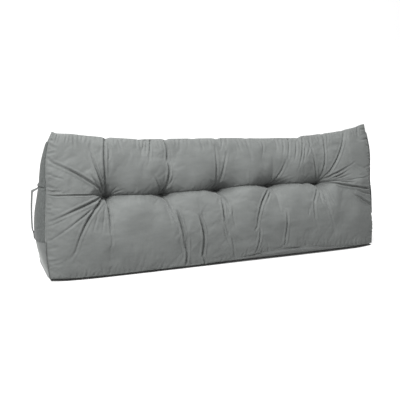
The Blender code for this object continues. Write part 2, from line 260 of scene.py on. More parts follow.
print("the ears are drawn in by", END_SEAMS[-1].left, "and", END_SEAMS[-1].right, "m")

# %% [markdown]
# ## The channel and its tucks
# Each tuck is a few stitches through the whole cushion, tied tight. Between them the cloth
# follows from one tuck to the next in a channel, and the filling above it slumps over it. The
# channel is a line up the face where the two rolls meet, deepest at the tucks.

# %% Tucks and the depth of the channel
Tuck = namedtuple("Tuck", "along up sunk pit eye_along eye_up")
TUCKS = (
    Tuck(-0.469, 0.303, 0.058, 0.028, 0.026, 0.022),
    Tuck(-0.246, 0.304, 0.054, 0.040, 0.030, 0.020),
    Tuck(-0.016, 0.310, 0.058, 0.044, 0.040, 0.020),
    Tuck(0.219, 0.309, 0.060, 0.042, 0.048, 0.019),
    Tuck(0.440, 0.300, 0.058, 0.030, 0.028, 0.017),
)
CHANNEL_SUNK = -0.004
CHANNEL_OUT = -0.020
TUCK_REACH = 0.050
OUTER_REACH = 0.11
OUTER_MOST = 0.7
CHANNEL_POWER = 9.0
FUNNEL_POWER = 4.6
CHANNEL_ROW = 0.547


def channel_share(along):
    """How far up the face the channel runs, as a share of it."""
    return smooth_curve([t.along for t in TUCKS], [t.up for t in TUCKS], along) / FACE_LENGTH


def outer_share(along):
    """0 between the first and the last tuck, growing to 1 towards the ends."""
    beyond = np.maximum(TUCKS[0].along - along, along - TUCKS[-1].along)
    return ease(beyond / OUTER_REACH)


def tuck_pull(along):
    """How far the channel is pulled in below the straight face, along the width."""
    pull = np.full(np.shape(along), CHANNEL_SUNK)
    for tuck in TUCKS:
        near = np.exp(-np.abs(along - tuck.along) / TUCK_REACH)
        pull = np.maximum(pull, CHANNEL_SUNK + (tuck.sunk - CHANNEL_SUNK) * near)
    outside = outer_share(along)
    return pull * (1 - outside) + CHANNEL_OUT * outside


def tuck_pits(along, up):
    """The small eye that each tuck's stitches pull into the channel."""
    total = np.zeros(np.broadcast(along, up).shape)
    for tuck in TUCKS:
        across = (along - tuck.along) / tuck.eye_along
        upward = (up - tuck.up) / tuck.eye_up
        total -= tuck.pit * np.exp(-(across**2) - upward**2)
    return total


print(len(TUCKS), "tucks, at", [tuck.along for tuck in TUCKS])

# %% [markdown]
# ## Folds
# Velvet pulled to a point has more cloth than room, so it folds in lines that run out of each
# tuck, and out of each seam where the thread gathers it. A fold is a pressed line with a wide
# soft valley round it and a full shoulder on each side. The rows give each one that shows: from
# where it starts to where it ends, along the width and up the face, how far it bows sideways,
# the depth and half width of its line, the depth of its valley, and the share of all this that
# is left where it ends.

# %% The folds of the front
Fold = namedtuple("Fold", "along up to_along to_up bow depth width valley keep")
FOLDS = (
    # out of the first tuck, from straight up round to the left, down and right
    Fold(-0.470, 0.317, -0.465, 0.520, 0.012, 0.0070, 0.0060, 0.0060, 0.9),
    Fold(-0.466, 0.430, -0.457, 0.505, -0.006, 0.0030, 0.0050, 0.0000, 0.8),
    Fold(-0.482, 0.322, -0.524, 0.466, 0.006, 0.0095, 0.0060, 0.0030, 0.2),
    Fold(-0.486, 0.316, -0.540, 0.392, 0.004, 0.0080, 0.0050, 0.0020, 0.0),
    Fold(-0.484, 0.315, -0.673, 0.420, -0.006, 0.0070, 0.0060, 0.0045, 0.5),
    Fold(-0.560, 0.362, -0.610, 0.392, 0.000, 0.0020, 0.0050, 0.0000, 0.3),
    Fold(-0.634, 0.360, -0.697, 0.377, 0.000, 0.0020, 0.0050, 0.0000, 1.0),
    Fold(-0.640, 0.315, -0.697, 0.318, 0.000, 0.0020, 0.0050, 0.0000, 1.0),
    Fold(-0.484, 0.307, -0.690, 0.302, 0.003, 0.0030, 0.0040, 0.0010, 0.7),
    Fold(-0.484, 0.297, -0.680, 0.212, -0.001, 0.0060, 0.0060, 0.0050, 0.4),
    Fold(-0.625, 0.225, -0.697, 0.188, 0.000, 0.0020, 0.0050, 0.0010, 1.0),
    Fold(-0.482, 0.291, -0.695, 0.137, 0.001, 0.0030, 0.0050, 0.0010, 0.6),
    Fold(-0.478, 0.295, -0.605, 0.100, -0.020, 0.0070, 0.0060, 0.0070, 0.3),
    Fold(-0.466, 0.295, -0.474, 0.130, -0.005, 0.0080, 0.0060, 0.0040, 0.2),
    Fold(-0.485, 0.277, -0.512, 0.146, 0.000, 0.0020, 0.0050, 0.0010, 0.0),
    Fold(-0.520, 0.235, -0.544, 0.156, 0.000, 0.0020, 0.0050, 0.0000, 0.0),
    Fold(-0.455, 0.315, -0.425, 0.340, 0.000, 0.0020, 0.0050, 0.0010, 0.0),
    Fold(-0.452, 0.311, -0.400, 0.327, 0.000, 0.0020, 0.0050, 0.0010, 0.0),
    # short ones out of the ridge seam, from left to right
    Fold(-0.308, 0.527, -0.333, 0.457, 0.000, 0.0030, 0.0050, 0.0010, 0.0),
    Fold(-0.302, 0.527, -0.313, 0.453, 0.000, 0.0030, 0.0050, 0.0010, 0.0),
    Fold(-0.284, 0.527, -0.309, 0.420, 0.000, 0.0040, 0.0050, 0.0020, 0.0),
    Fold(-0.082, 0.527, -0.080, 0.472, 0.000, 0.0025, 0.0050, 0.0000, 0.0),
    Fold(0.012, 0.527, -0.002, 0.474, 0.000, 0.0030, 0.0050, 0.0000, 0.0),
    Fold(0.180, 0.527, 0.169, 0.431, 0.010, 0.0030, 0.0050, 0.0010, 0.0),
    Fold(0.252, 0.527, 0.243, 0.455, 0.002, 0.0028, 0.0050, 0.0010, 0.0),
    Fold(0.286, 0.520, 0.262, 0.430, 0.004, 0.0030, 0.0050, 0.0010, 0.0),
    Fold(0.346, 0.512, 0.308, 0.398, 0.005, 0.0038, 0.0050, 0.0010, 0.0),
    Fold(0.412, 0.525, 0.372, 0.412, 0.006, 0.0032, 0.0050, 0.0010, 0.0),
    Fold(0.318, 0.527, 0.282, 0.404, 0.001, 0.0035, 0.0050, 0.0020, 0.0),
    Fold(0.380, 0.527, 0.330, 0.376, 0.005, 0.0050, 0.0050, 0.0020, 0.1),
    Fold(0.378, 0.490, 0.349, 0.384, 0.004, 0.0040, 0.0050, 0.0010, 0.0),
    Fold(0.498, 0.527, 0.486, 0.472, 0.000, 0.0025, 0.0050, 0.0000, 0.0),
    Fold(0.658, 0.527, 0.643, 0.479, 0.000, 0.0030, 0.0050, 0.0000, 0.0),
    # out of the second tuck
    Fold(-0.252, 0.315, -0.293, 0.381, 0.001, 0.0070, 0.0060, 0.0020, 0.0),
    Fold(-0.246, 0.317, -0.228, 0.439, -0.008, 0.0085, 0.0060, 0.0050, 0.4),
    Fold(-0.239, 0.420, -0.232, 0.522, -0.008, 0.0060, 0.0055, 0.0040, 1.0),
    Fold(-0.240, 0.320, -0.213, 0.374, 0.000, 0.0065, 0.0060, 0.0020, 0.0),
    Fold(-0.243, 0.291, -0.227, 0.178, -0.002, 0.0075, 0.0060, 0.0040, 0.1),
    # long hanging folds of the lower roll between the second and the third tuck
    Fold(-0.217, 0.250, -0.190, 0.080, 0.001, 0.0095, 0.0065, 0.0090, 0.6),
    Fold(-0.190, 0.140, -0.184, 0.020, 0.004, 0.0080, 0.0065, 0.0040, 0.8),
    Fold(-0.133, 0.214, -0.117, 0.048, 0.008, 0.0100, 0.0065, 0.0070, 0.7),
    Fold(-0.118, 0.222, -0.108, 0.150, 0.000, 0.0020, 0.0050, 0.0010, 0.0),
    Fold(-0.114, 0.036, -0.106, 0.004, 0.000, 0.0040, 0.0050, 0.0000, 1.0),
    # out of the third tuck
    Fold(-0.028, 0.321, -0.027, 0.485, 0.004, 0.0050, 0.0060, 0.0040, 0.3),
    Fold(-0.012, 0.320, 0.015, 0.448, 0.006, 0.0045, 0.0060, 0.0030, 0.2),
    Fold(-0.014, 0.295, -0.002, 0.205, 0.004, 0.0080, 0.0060, 0.0040, 0.2),
    Fold(-0.012, 0.277, -0.012, 0.121, -0.014, 0.0085, 0.0060, 0.0040, 0.2),
    Fold(-0.034, 0.155, -0.005, 0.056, -0.004, 0.0030, 0.0050, 0.0010, 0.2),
    Fold(-0.001, 0.105, 0.015, 0.020, 0.002, 0.0040, 0.0055, 0.0010, 0.6),
    Fold(0.013, 0.242, 0.025, 0.101, -0.006, 0.0025, 0.0050, 0.0010, 0.0),
    # out of the fourth tuck, and the short one beyond it
    Fold(0.226, 0.321, 0.280, 0.424, -0.006, 0.0030, 0.0060, 0.0030, 0.1),
    Fold(0.210, 0.291, 0.112, 0.122, -0.024, 0.0060, 0.0060, 0.0060, 0.5),
    Fold(0.124, 0.120, 0.110, 0.014, 0.006, 0.0050, 0.0055, 0.0020, 0.7),
    Fold(0.206, 0.283, 0.158, 0.212, 0.000, 0.0030, 0.0050, 0.0010, 0.0),
    Fold(0.245, 0.182, 0.241, 0.030, 0.001, 0.0045, 0.0055, 0.0020, 0.9),
    # out of the last tuck, from straight up round to the right and down
    Fold(0.432, 0.317, 0.404, 0.520, 0.008, 0.0045, 0.0060, 0.0030, 0.6),
    Fold(0.446, 0.320, 0.476, 0.520, -0.001, 0.0055, 0.0045, 0.0010, 0.9),
    Fold(0.448, 0.313, 0.573, 0.505, -0.011, 0.0038, 0.0060, 0.0050, 0.7),
    Fold(0.450, 0.315, 0.595, 0.372, -0.002, 0.0045, 0.0060, 0.0020, 0.1),
    Fold(0.471, 0.310, 0.580, 0.350, -0.003, 0.0035, 0.0050, 0.0010, 0.0),
    Fold(0.494, 0.308, 0.590, 0.329, -0.002, 0.0020, 0.0050, 0.0000, 0.0),
    Fold(0.500, 0.296, 0.605, 0.285, 0.000, 0.0020, 0.0050, 0.0000, 0.0),
    Fold(0.450, 0.299, 0.690, 0.244, -0.002, 0.0060, 0.0055, 0.0040, 1.0),
    Fold(0.582, 0.256, 0.690, 0.220, -0.004, 0.0030, 0.0050, 0.0000, 1.0),
    Fold(0.565, 0.238, 0.695, 0.166, -0.001, 0.0050, 0.0055, 0.0020, 1.0),
    Fold(0.434, 0.289, 0.384, 0.215, -0.003, 0.0040, 0.0060, 0.0030, 0.8),
    Fold(0.384, 0.225, 0.390, 0.085, -0.013, 0.0040, 0.0060, 0.0020, 0.1),
    Fold(0.432, 0.283, 0.421, 0.170, -0.009, 0.0040, 0.0060, 0.0020, 0.0),
    Fold(0.440, 0.279, 0.464, 0.104, -0.010, 0.0045, 0.0060, 0.0030, 0.1),
    Fold(0.452, 0.279, 0.478, 0.182, -0.003, 0.0030, 0.0050, 0.0010, 0.0),
    Fold(0.350, 0.184, 0.344, 0.134, 0.000, 0.0020, 0.0050, 0.0000, 0.0),
)
print(len(FOLDS), "folds placed by hand on the front")

# %% [markdown]
# A fold has the same section wherever it runs: a narrow pressed line, a full shoulder on each
# side of it and a wide soft valley round both. It deepens fast where it leaves a tuck or a seam,
# because the thread holds it there, and slowly where it starts in the free cloth.

# %% The section of a fold
SEWN_RISE = 0.08
FREE_RISE = 0.35
SEWN_WITHIN = 0.030
FOLD_END = 0.15
FADE = 1.5
LINE_DEEPER = 1.55
LINE_NARROWER = 0.62
LINE_POWER = 1.2
VALLEY_LESS = 0.6
VALLEY_SPREAD = 4.2
SHOULDER_AT = 2.1
SHOULDER_SPREAD = 0.9
SHOULDER = 0.50


def along_fold(fold, along, up):
    """How far along a fold each point lies, as a share of it, and how far beside its line."""
    reach_along = fold.to_along - fold.along
    reach_up = fold.to_up - fold.up
    length = np.hypot(reach_along, reach_up)
    part = ((along - fold.along) * reach_along + (up - fold.up) * reach_up) / length**2
    side = ((up - fold.up) * reach_along - (along - fold.along) * reach_up) / length
    inside = np.clip(part, 0.0, 1.0)
    return part, side - fold.bow * 4 * inside * (1 - inside)


def rise_of(fold):
    """The share of its length over which a fold deepens: short out of a tuck or a seam."""
    to_tuck = min(np.hypot(fold.along - tuck.along, fold.up - tuck.up) for tuck in TUCKS)
    to_seam = min(WIDTH / 2 - abs(fold.along), FACE_LENGTH - fold.up, fold.up)
    return SEWN_RISE if min(to_tuck, to_seam) < SEWN_WITHIN else FREE_RISE


def fold_height(fold, along, up):
    """The pressed line of one fold, the valley round it and its two shoulders."""
    part, side = along_fold(fold, along, up)
    widths = np.abs(side) / (LINE_NARROWER * fold.width)
    left = fold.keep + (1 - fold.keep) * ease(FADE - FADE * np.clip(part, 0.0, 1.0))
    strength = ease(part / rise_of(fold)) * ease((1 + FOLD_END - part) / FOLD_END) * left
    line = np.exp(-(widths**LINE_POWER))
    valley = VALLEY_LESS * np.exp(-((widths / VALLEY_SPREAD) ** 2))
    shoulder = np.exp(-(((widths - SHOULDER_AT) / SHOULDER_SPREAD) ** 2))
    shape = (SHOULDER * shoulder - line) * LINE_DEEPER * fold.depth - valley * fold.valley
    return strength * shape


def fold_field(folds, along, up):
    """All folds of a list together."""
    total = np.zeros(np.broadcast(along, up).shape)
    for fold in folds:
        total += fold_height(fold, along, up)
    return total


print("a fold's line is drawn", LINE_DEEPER, "times as deep as its row says")

# %% [markdown]
# The domed ends carry a few folds too. There a fold's along is the place from front to back, and
# its up is the height above the floor.

# %% The folds of the ends
END_FOLDS = {
    -1: (
        Fold(0.060, 0.316, 0.150, 0.306, 0.003, 0.0060, 0.0050, 0.0060, 0.5),
        Fold(0.050, 0.190, 0.120, 0.150, 0.000, 0.0020, 0.0050, 0.0010, 0.2),
        Fold(0.070, 0.345, 0.130, 0.330, 0.000, 0.0025, 0.0045, 0.0010, 0.1),
        Fold(0.115, 0.450, 0.140, 0.380, 0.004, 0.0020, 0.0045, 0.0010, 0.2),
        Fold(0.190, 0.230, 0.140, 0.205, 0.000, 0.0020, 0.0050, 0.0010, 0.1),
    ),
    1: (
        Fold(0.060, 0.236, 0.150, 0.244, 0.003, 0.0040, 0.0050, 0.0040, 0.4),
        Fold(0.050, 0.160, 0.120, 0.130, 0.000, 0.0020, 0.0050, 0.0010, 0.2),
        Fold(0.080, 0.330, 0.135, 0.310, 0.000, 0.0020, 0.0050, 0.0010, 0.1),
    ),
}
print(sum(len(folds) for folds in END_FOLDS.values()), "folds on the two ends")

# %% [markdown]
# ## Gathers
# A machine stitch gathers the cloth a little all along a seam, so dozens of short fine folds
# stand at right angles to it. They are too many to place by hand: a loop draws them from a
# seeded generator, which gives the same gathers each time. A gather slips a little from its
# even place and leans a little to one side. A ray round a tuck turns and bows by the same two
# values.

# %% Gathers along the seams and rays round the tucks
Gather = namedtuple("Gather", "count shortest longest depth width slip lean")
RIDGE_GATHERS = Gather(64, 0.020, 0.075, 0.0026, 0.0060, 0.008, 0.3)
FOOT_GATHERS = Gather(46, 0.014, 0.050, 0.0018, 0.0060, 0.008, 0.3)
SIDE_GATHERS = Gather(30, 0.014, 0.055, 0.0024, 0.0060, 0.007, 0.25)
TUCK_RAYS = Gather(13, 0.030, 0.085, 0.0020, 0.0060, 0.2, 0.004)
DEPTHS = (0.35, 1.0)
WIDTHS = (0.8, 1.3)
LONG_SEAM_SPAN = (-0.47, 0.47)
SIDE_SEAM_SPAN = (0.05, 0.95)
RAY_START = 0.012
RAY_UPRIGHT = 0.85


def drawn(draw, gather):
    """Length, depth and half width of one gather."""
    length = draw.uniform(gather.shortest, gather.longest)
    depth = gather.depth * draw.uniform(*DEPTHS)
    return length, depth, gather.width * draw.uniform(*WIDTHS)


def seam_gathers(seed):
    """Short folds out of the four seams round the front."""
    draw = np.random.default_rng(seed)
    made = []
    for gather, up, turn in ((RIDGE_GATHERS, FACE_LENGTH, -1), (FOOT_GATHERS, 0.0, 1)):
        for place in np.linspace(*LONG_SEAM_SPAN, gather.count) * WIDTH:
            along = place + draw.uniform(-gather.slip, gather.slip)
            length, depth, width = drawn(draw, gather)
            lean = draw.uniform(-gather.lean, gather.lean) * length
            made.append(Fold(along, up, along + lean, up + turn * length, 0, depth, width, 0, 0))
    gather = SIDE_GATHERS
    for end in (-1, 1):
        for place in np.linspace(*SIDE_SEAM_SPAN, gather.count) * FACE_LENGTH:
            up = place + draw.uniform(-gather.slip, gather.slip)
            length, depth, width = drawn(draw, gather)
            seam = end * WIDTH / 2
            lean = draw.uniform(-gather.lean, gather.lean) * length
            made.append(Fold(seam, up, seam - end * length, up + lean, 0, depth, width, 0, 0))
    return made


def tuck_rays(seed):
    """Faint rays all round each tuck."""
    draw = np.random.default_rng(seed)
    rays = TUCK_RAYS
    made = []
    for tuck in TUCKS:
        for angle in np.linspace(0, 2 * np.pi, rays.count, endpoint=False):
            angle += draw.uniform(-rays.slip, rays.slip)
            length, depth, width = drawn(draw, rays)
            way = np.array((np.cos(angle), RAY_UPRIGHT * np.sin(angle)))
            start = np.array((tuck.along, tuck.up)) + RAY_START * way
            stop = start + length * way
            bow = draw.uniform(-rays.lean, rays.lean)
            made.append(Fold(*start, *stop, bow, depth, width, 0, 0))
    return made


fine_folds = seam_gathers(seed=11) + tuck_rays(seed=23)
print(len(fine_folds), "gathers and rays drawn")

# %% [markdown]
# ## Lumps of the filling
# Fibre filling never lies quite even. A handful of long soft waves in many directions, a
# millimetre or two high, keeps the light on the rolls from running perfectly smooth.

# %% Soft unevenness
Lump = namedtuple("Lump", "waves shortest longest height")
FRONT_LUMPS = Lump(26, 0.06, 0.20, 0.0008)
BACK_LUMPS = Lump(22, 0.10, 0.32, 0.0014)


def lumps(along, up, lump, seed):
    """A sum of soft waves of many lengths and directions."""
    draw = np.random.default_rng(seed)
    total = np.zeros(np.broadcast(along, up).shape)
    for _ in range(lump.waves):
        length = draw.uniform(lump.shortest, lump.longest)
        angle = draw.uniform(0, np.pi)
        phase = draw.uniform(0, 2 * np.pi)
        turn = 2 * np.pi / length * (along * np.cos(angle) + up * np.sin(angle))
        total += lump.height * np.sin(turn + phase) * length / lump.longest
    return total


print(FRONT_LUMPS.waves, "waves on the front,", BACK_LUMPS.waves, "on the back")

# %% [markdown]
# ## Where the cloth lies
# The front leans back from its lower seam to the ridge. Over that straight slope it stands
# proud by the fullness of the two rolls, less the pull of the channel and the folds. The upper
# roll hangs over the channel, because its filling slumps, and the lower roll rises to meet it.

# %% Height of the front
ROLL_HANG = 0.001
TUCK_HANG = 0.003
HANG_REACH = 0.035
ROLL_RISE = 0.003
HANG_POWER = 5
RISE_POWER = 7
HUMP_SIZE = 2.0
HUMP_END = 1.4
SEAM_HOLD = 0.006
BACK_HOLD = 4 * SEAM_HOLD
LINE_HOLD = 0.008


def beside_seam(along):
    """1 over the middle, rounding down to 0 at both end seams."""
    to_seam = np.clip((WIDTH / 2 - np.abs(along)) / SEAM_ROUNDING, 0.0, 1.0)
    return np.sqrt(1 - (1 - to_seam) ** 2)


def edge_hump(part, power):
    """0 at both ends, with its top of about 1 close before part 1."""
    return HUMP_SIZE * part**power * np.sqrt(np.clip(1 - part ** (HUMP_END * power), 0, 1))


def roll_parts(along, share):
    """How far a point is from its seam to the channel, on the lower and on the upper roll."""
    channel = channel_share(along)
    low = np.clip(share / channel, 0.0, 1.0)
    return low, np.clip((1 - share) / (1 - channel), 0.0, 1.0)


def roll(part, crown, powers, level, funnel):
    """Height of one roll, with its seam at part 0 and the channel at part 1."""
    full = crown * swell(part, powers)
    return full - level * part**CHANNEL_POWER - funnel * part**FUNNEL_POWER


def front_height(along, share):
    """Height of the front above the straight face, at a share of the way up it."""
    channel = channel_share(along)
    pull = tuck_pull(along)
    up = share * FACE_LENGTH
    low, high = roll_parts(along, share)
    level = np.minimum(pull, CHANNEL_SUNK)
    lower = roll(low, LOWER_CROWN, LOWER_SWELL, level, pull - level)
    upper = roll(high, UPPER_CROWN, UPPER_SWELL, level, pull - level)
    rolls = np.where(share < channel, lower, upper)
    whole = SIDE_CROWN * swell(share, SIDE_SWELL)
    outside = OUTER_MOST * outer_share(along)
    from_seam = np.minimum(np.minimum(share, 1 - share) * FACE_LENGTH, WIDTH / 2 - np.abs(along))
    held = ease(from_seam / SEAM_HOLD)
    from_line = np.abs(share - channel) * FACE_LENGTH
    even = 1 - (1 - ease(from_line / LINE_HOLD)) * (1 - outer_share(along))
    relief = even * (fold_field(FOLDS, along, up) + fold_field(fine_folds, along, up))
    relief += lumps(along, up, FRONT_LUMPS, seed=5) + tuck_pits(along, up)
    return (rolls * (1 - outside) + whole * outside) * beside_seam(along) + held * relief


def front_slide(along, share):
    """How far a point of the front slides up its slope: the upper roll hangs, the lower rises."""
    low, high = roll_parts(along, share)
    near = sum(np.exp(-(((along - tuck.along) / HANG_REACH) ** 2)) for tuck in TUCKS)
    hang = ROLL_HANG + TUCK_HANG * near
    slide = ROLL_RISE * edge_hump(low, RISE_POWER) - hang * edge_hump(high, HANG_POWER)
    return slide * (1 - outer_share(along)) * beside_seam(along)


print("the channel lies", round(float(channel_share(0.0)), 3), "of the way up the face")

# %% [markdown]
# Height and slide are measured from the straight slope between two seams, so the slope's lean
# turns them into places. The front's rows are shifted so that one of them always lies on the
# channel.

# %% Points of the front and the back
def share_at(along, row):
    """The share of the way up the face at a row: CHANNEL_ROW always lies on the channel."""
    tent = np.minimum(row / CHANNEL_ROW, (1 - row) / (1 - CHANNEL_ROW))
    return row + (channel_share(along) - CHANNEL_ROW) * tent


def front_points(along, row):
    """Points of the tufted front, with row 0 its bottom seam and row 1 the ridge."""
    along, row = np.broadcast_arrays(along, row)
    share = share_at(along, row)
    low_y, low_z = front_seam(along)
    top_y, top_z = ridge_seam(along)
    lean = np.arctan2(top_y - low_y, top_z - low_z)
    height = front_height(along, share)
    slide = front_slide(along, share)
    y = low_y + (top_y - low_y) * share - height * np.cos(lean) + slide * np.sin(lean)
    z = low_z + (top_z - low_z) * share + height * np.sin(lean) + slide * np.cos(lean)
    return np.stack([drawn_in(along, share), y, z], -1)


def back_points(along, share):
    """Points of the plain back, share 0 at its bottom seam and 1 at the ridge."""
    along, share = np.broadcast_arrays(along, share)
    low_y, low_z = back_seam(along)
    top_y, top_z = ridge_seam(along)
    full = BACK_CROWN * swell(share, BACK_SWELL)
    held = np.clip(np.minimum(share, 1 - share) / BACK_HOLD, 0, 1)
    full = full + held * lumps(along, share * HEIGHT, BACK_LUMPS, seed=8)
    y = low_y + (top_y - low_y) * share + full * beside_seam(along)
    z = low_z + (top_z - low_z) * share
    return np.stack([drawn_in(along, share), y, z], -1)


# %% [markdown]
# The base lies flat on the floor. Only a narrow strip at each long seam rises to the stitching,
# and the front one bulges a little where a fold gathers the foot up.

# %% The base
BACK_EDGE_IN = 0.020
STRIP_IN = 0.006
STRIP_BULGE = 0.007
STRIP_FOOT = 0.009
FOOT_IN = 0.040


def base_points(along, share):
    """Points of the base from the back seam to the front seam, flat on the floor between."""
    along, share = np.broadcast_arrays(along, share)
    back_y, back_z = back_seam(along)
    front_y, front_z = front_seam(along)
    depth = back_y - front_y
    over_strip = np.clip((1 - share) * depth / STRIP_IN, 0, 1)
    under = np.clip(((1 - share) * depth - STRIP_IN) / (FOOT_IN - STRIP_IN), 0, 1)
    bulge = STRIP_BULGE * lifted(along) * np.sin(np.pi * over_strip)
    y = back_y - depth * share - bulge * bowed(along)
    foot = (front_z + (STRIP_FOOT - front_z) * over_strip) * (1 - under)
    z = np.where(share < 0.5, back_z * np.clip(1 - share * depth / BACK_EDGE_IN, 0, 1), foot)
    return np.stack([drawn_in(along, np.zeros(share.shape)), y, z], -1)


print("the face is", round(FACE_LENGTH, 3), "m from its foot to the ridge")

# %% [markdown]
# ## A fine net over the wedge
# The solids are drawn with cells of about 13 mm. A fold's line is only a few millimetres wide,
# so the front gets a net of about 3.4 mm, closer still where the rolls turn into the channel.
# The back, the base and the ends are plain and take every second line of it.

# %% Net of stations and rows
STATION_STEP = 0.0034
LOWER_ROWS = 88
UPPER_ROWS = 74
EDGE_CROWDING = 0.6
BASE_COLUMNS = 32
BASE_CROWDING = 0.85
OFF_FLOOR = 0.20
Row = namedtuple("Row", "front back")
ROWS = (
    Row(0.000, 0.000),
    Row(0.244, 0.175),
    Row(0.300, 0.260),
    Row(0.385, 0.370),
    Row(0.468, 0.475),
    Row(0.547, 0.580),
    Row(0.640, 0.680),
    Row(0.740, 0.770),
    Row(0.845, 0.860),
    Row(0.925, 0.925),
    Row(1.000, 1.000),
)


def stations(spacing):
    """Places along the width, an even number of steps from each end seam or tuck to the next."""
    stops = [-WIDTH / 2] + [tuck.along for tuck in TUCKS] + [WIDTH / 2]
    places = [np.array(stops[:1])]
    for here, after in zip(stops, stops[1:]):
        steps = 2 * round((after - here) / (2 * spacing))
        places.append(np.linspace(here, after, steps + 1)[1:])
    return np.concatenate(places)


def crowded(count, crowding=EDGE_CROWDING):
    """Steps from 0 to 1 that lie closer together towards both ends."""
    even = np.linspace(0, 1, count + 1)
    return (1 - crowding) * even + crowding * (0.5 - 0.5 * np.cos(np.pi * even))


def front_rows():
    """Rows up the front, crowded at the seams and at the channel."""
    below = CHANNEL_ROW * crowded(LOWER_ROWS)
    above = CHANNEL_ROW + (1 - CHANNEL_ROW) * crowded(UPPER_ROWS)
    return np.concatenate([below, above[1:]])


across = stations(STATION_STEP)
rows_up = front_rows()
rows_back = np.interp(rows_up[::2], [r.front for r in ROWS], [r.back for r in ROWS])
base_columns = crowded(BASE_COLUMNS, BASE_CROWDING)
print("front net:", len(across), "by", len(rows_up))


# %% [markdown]
# An even net would cut a narrow fold that runs across its cells into steps. The points near a
# fold's line are therefore drawn in towards it, where they then lie about twice as close.

# %% The net drawn in to the fold lines
DRAWN_REACH = 0.0055
DRAWN_SHARE = 0.6
DRAWN_END = 0.05
STILL_WITHIN = 0.010


def to_folds(along, row):
    """Places and rows of the front's net after its points are drawn in to the fold lines."""
    along, row = np.broadcast_arrays(along, row)
    up = share_at(along, row) * FACE_LENGTH
    move_along = np.zeros(along.shape)
    move_up = np.zeros(along.shape)
    pulls = np.zeros(along.shape)
    for fold in FOLDS:
        part, side = along_fold(fold, along, up)
        within = ease(part / DRAWN_END) * ease((1 + DRAWN_END - part) / DRAWN_END)
        pull = within * np.exp(-((side / DRAWN_REACH) ** 2))
        reach = np.array((fold.to_along - fold.along, fold.to_up - fold.up))
        ahead = reach / np.hypot(*reach)
        move_along += pull * side * ahead[1]
        move_up -= pull * side * ahead[0]
        pulls += pull
    share = DRAWN_SHARE / np.maximum(pulls, 1)
    from_edge = np.minimum(WIDTH / 2 - np.abs(along), np.minimum(up, FACE_LENGTH - up))
    free = ease(from_edge / STILL_WITHIN)
    off_channel = ease(np.abs(row - CHANNEL_ROW) * FACE_LENGTH / STILL_WITHIN)
    new_row = row + move_up * share * free * off_channel / FACE_LENGTH
    return along + move_along * share * free, new_row


print("points move by up to", DRAWN_SHARE, "of their distance from a fold's line")

# %% [markdown]
# Each end is a dome stretched between the front seam and the back seam. Its fullness grows with
# the depth of the wedge and rounds in towards the floor.

# %% The domed ends
def end_points(side, row, column):
    """Points of a domed end: row as on the front, column 0 at the front seam and 1 at the back."""
    row, column = np.broadcast_arrays(row, column)
    along = np.array(side * WIDTH / 2)
    back_row = np.interp(row, [r.front for r in ROWS], [r.back for r in ROWS])
    front = front_points(along, row)
    chord = back_points(along, back_row) - front
    points = front + chord * column[..., None]
    fullness = (4 * column * (1 - column)) ** END_FULLNESS
    taper = np.minimum(np.linalg.norm(chord, axis=-1) / END_FULL_WIDTH, 1.0)
    off_floor = np.sin(np.pi / 2 * np.clip(points[..., 2] / OFF_FLOOR, 0, 1))
    crown = LEFT_END_CROWN if side < 0 else RIGHT_END_CROWN
    relief = fold_field(END_FOLDS[side], points[..., 1], points[..., 2]) * np.sqrt(fullness)
    points[..., 0] += side * (crown * fullness + relief) * taper * off_floor
    return points


def end_net(side):
    """The fine net of one domed end, its bottom row lying along the end of the base."""
    grid = end_points(side, rows_up[:-1:2, None], base_columns)
    grid[0] = base_points(np.array(side * WIDTH / 2), 1 - base_columns)
    return grid


print("the ends stand", LEFT_END_CROWN, "and", RIGHT_END_CROWN, "m proud of their seams")

# %% [markdown]
# ## Letting the cloth settle
# A cover is cut a little larger than its filling, and the filling's push against that spare
# cloth puckers it along every seam. No table gives that well, so the front and the back are
# each simulated as a sheet of cloth: cut a few per cent too large, sewn fast at the seams and
# along the channel, held where a main fold is pressed in, and pushed out from inside without
# gravity. Only the fine part of the movement is kept, so that the drawn shape stays; a cap
# keeps any point from wandering.

# %% Helpers for nets and meshes
def in_scene(name, data):
    """A new object with the given data, linked into the scene."""
    made = bpy.data.objects.new(name, data)
    bpy.context.scene.collection.objects.link(made)
    return made


def quads(ids):
    """The four-sided faces of a grid of point numbers."""
    corners = np.stack([ids[:-1, :-1], ids[1:, :-1], ids[1:, 1:], ids[:-1, 1:]], -1)
    return corners.reshape(-1, 4).tolist()


def grid_ids(net, first=0):
    """Numbers for the points of a net, counted on from the first one."""
    return first + np.arange(net[..., 0].size).reshape(net.shape[:2])


def mesh_object(name, points, faces):
    """A mesh object from points and faces."""
    mesh = bpy.data.meshes.new(name)
    mesh.from_pydata(points.tolist(), [], faces)
    return in_scene(name, mesh)


print("a net of 3 by 3 points has", len(quads(np.arange(9).reshape(3, 3))), "faces")

# %% [markdown]
# The cloth is light and limp, so the pressure folds it finely. Its cut says how much too large
# it is, how hard it is pushed, for how many frames, how much of the fine movement is kept, and
# how far a point may move.

# %% How the cloth behaves
Cut = namedtuple("Cut", "slack pressure frames keep cap")
FRONT_CUT = Cut(0.035, 2.0, 20, 0.45, 0.0045)
BACK_CUT = Cut(0.022, 1.5, 16, 0.7, 0.007)
SIM_STEP = 0.006
BACK_SIM_STEP = 0.010
SIM_LOWER_ROWS = 46
SIM_UPPER_ROWS = 40
SIM_BACK_ROWS = 50
HELD_DEPTH = 0.0035
HELD_LEAST = 0.02
TUCK_HOLD = 0.010
SMOOTHED_OVER = 0.017


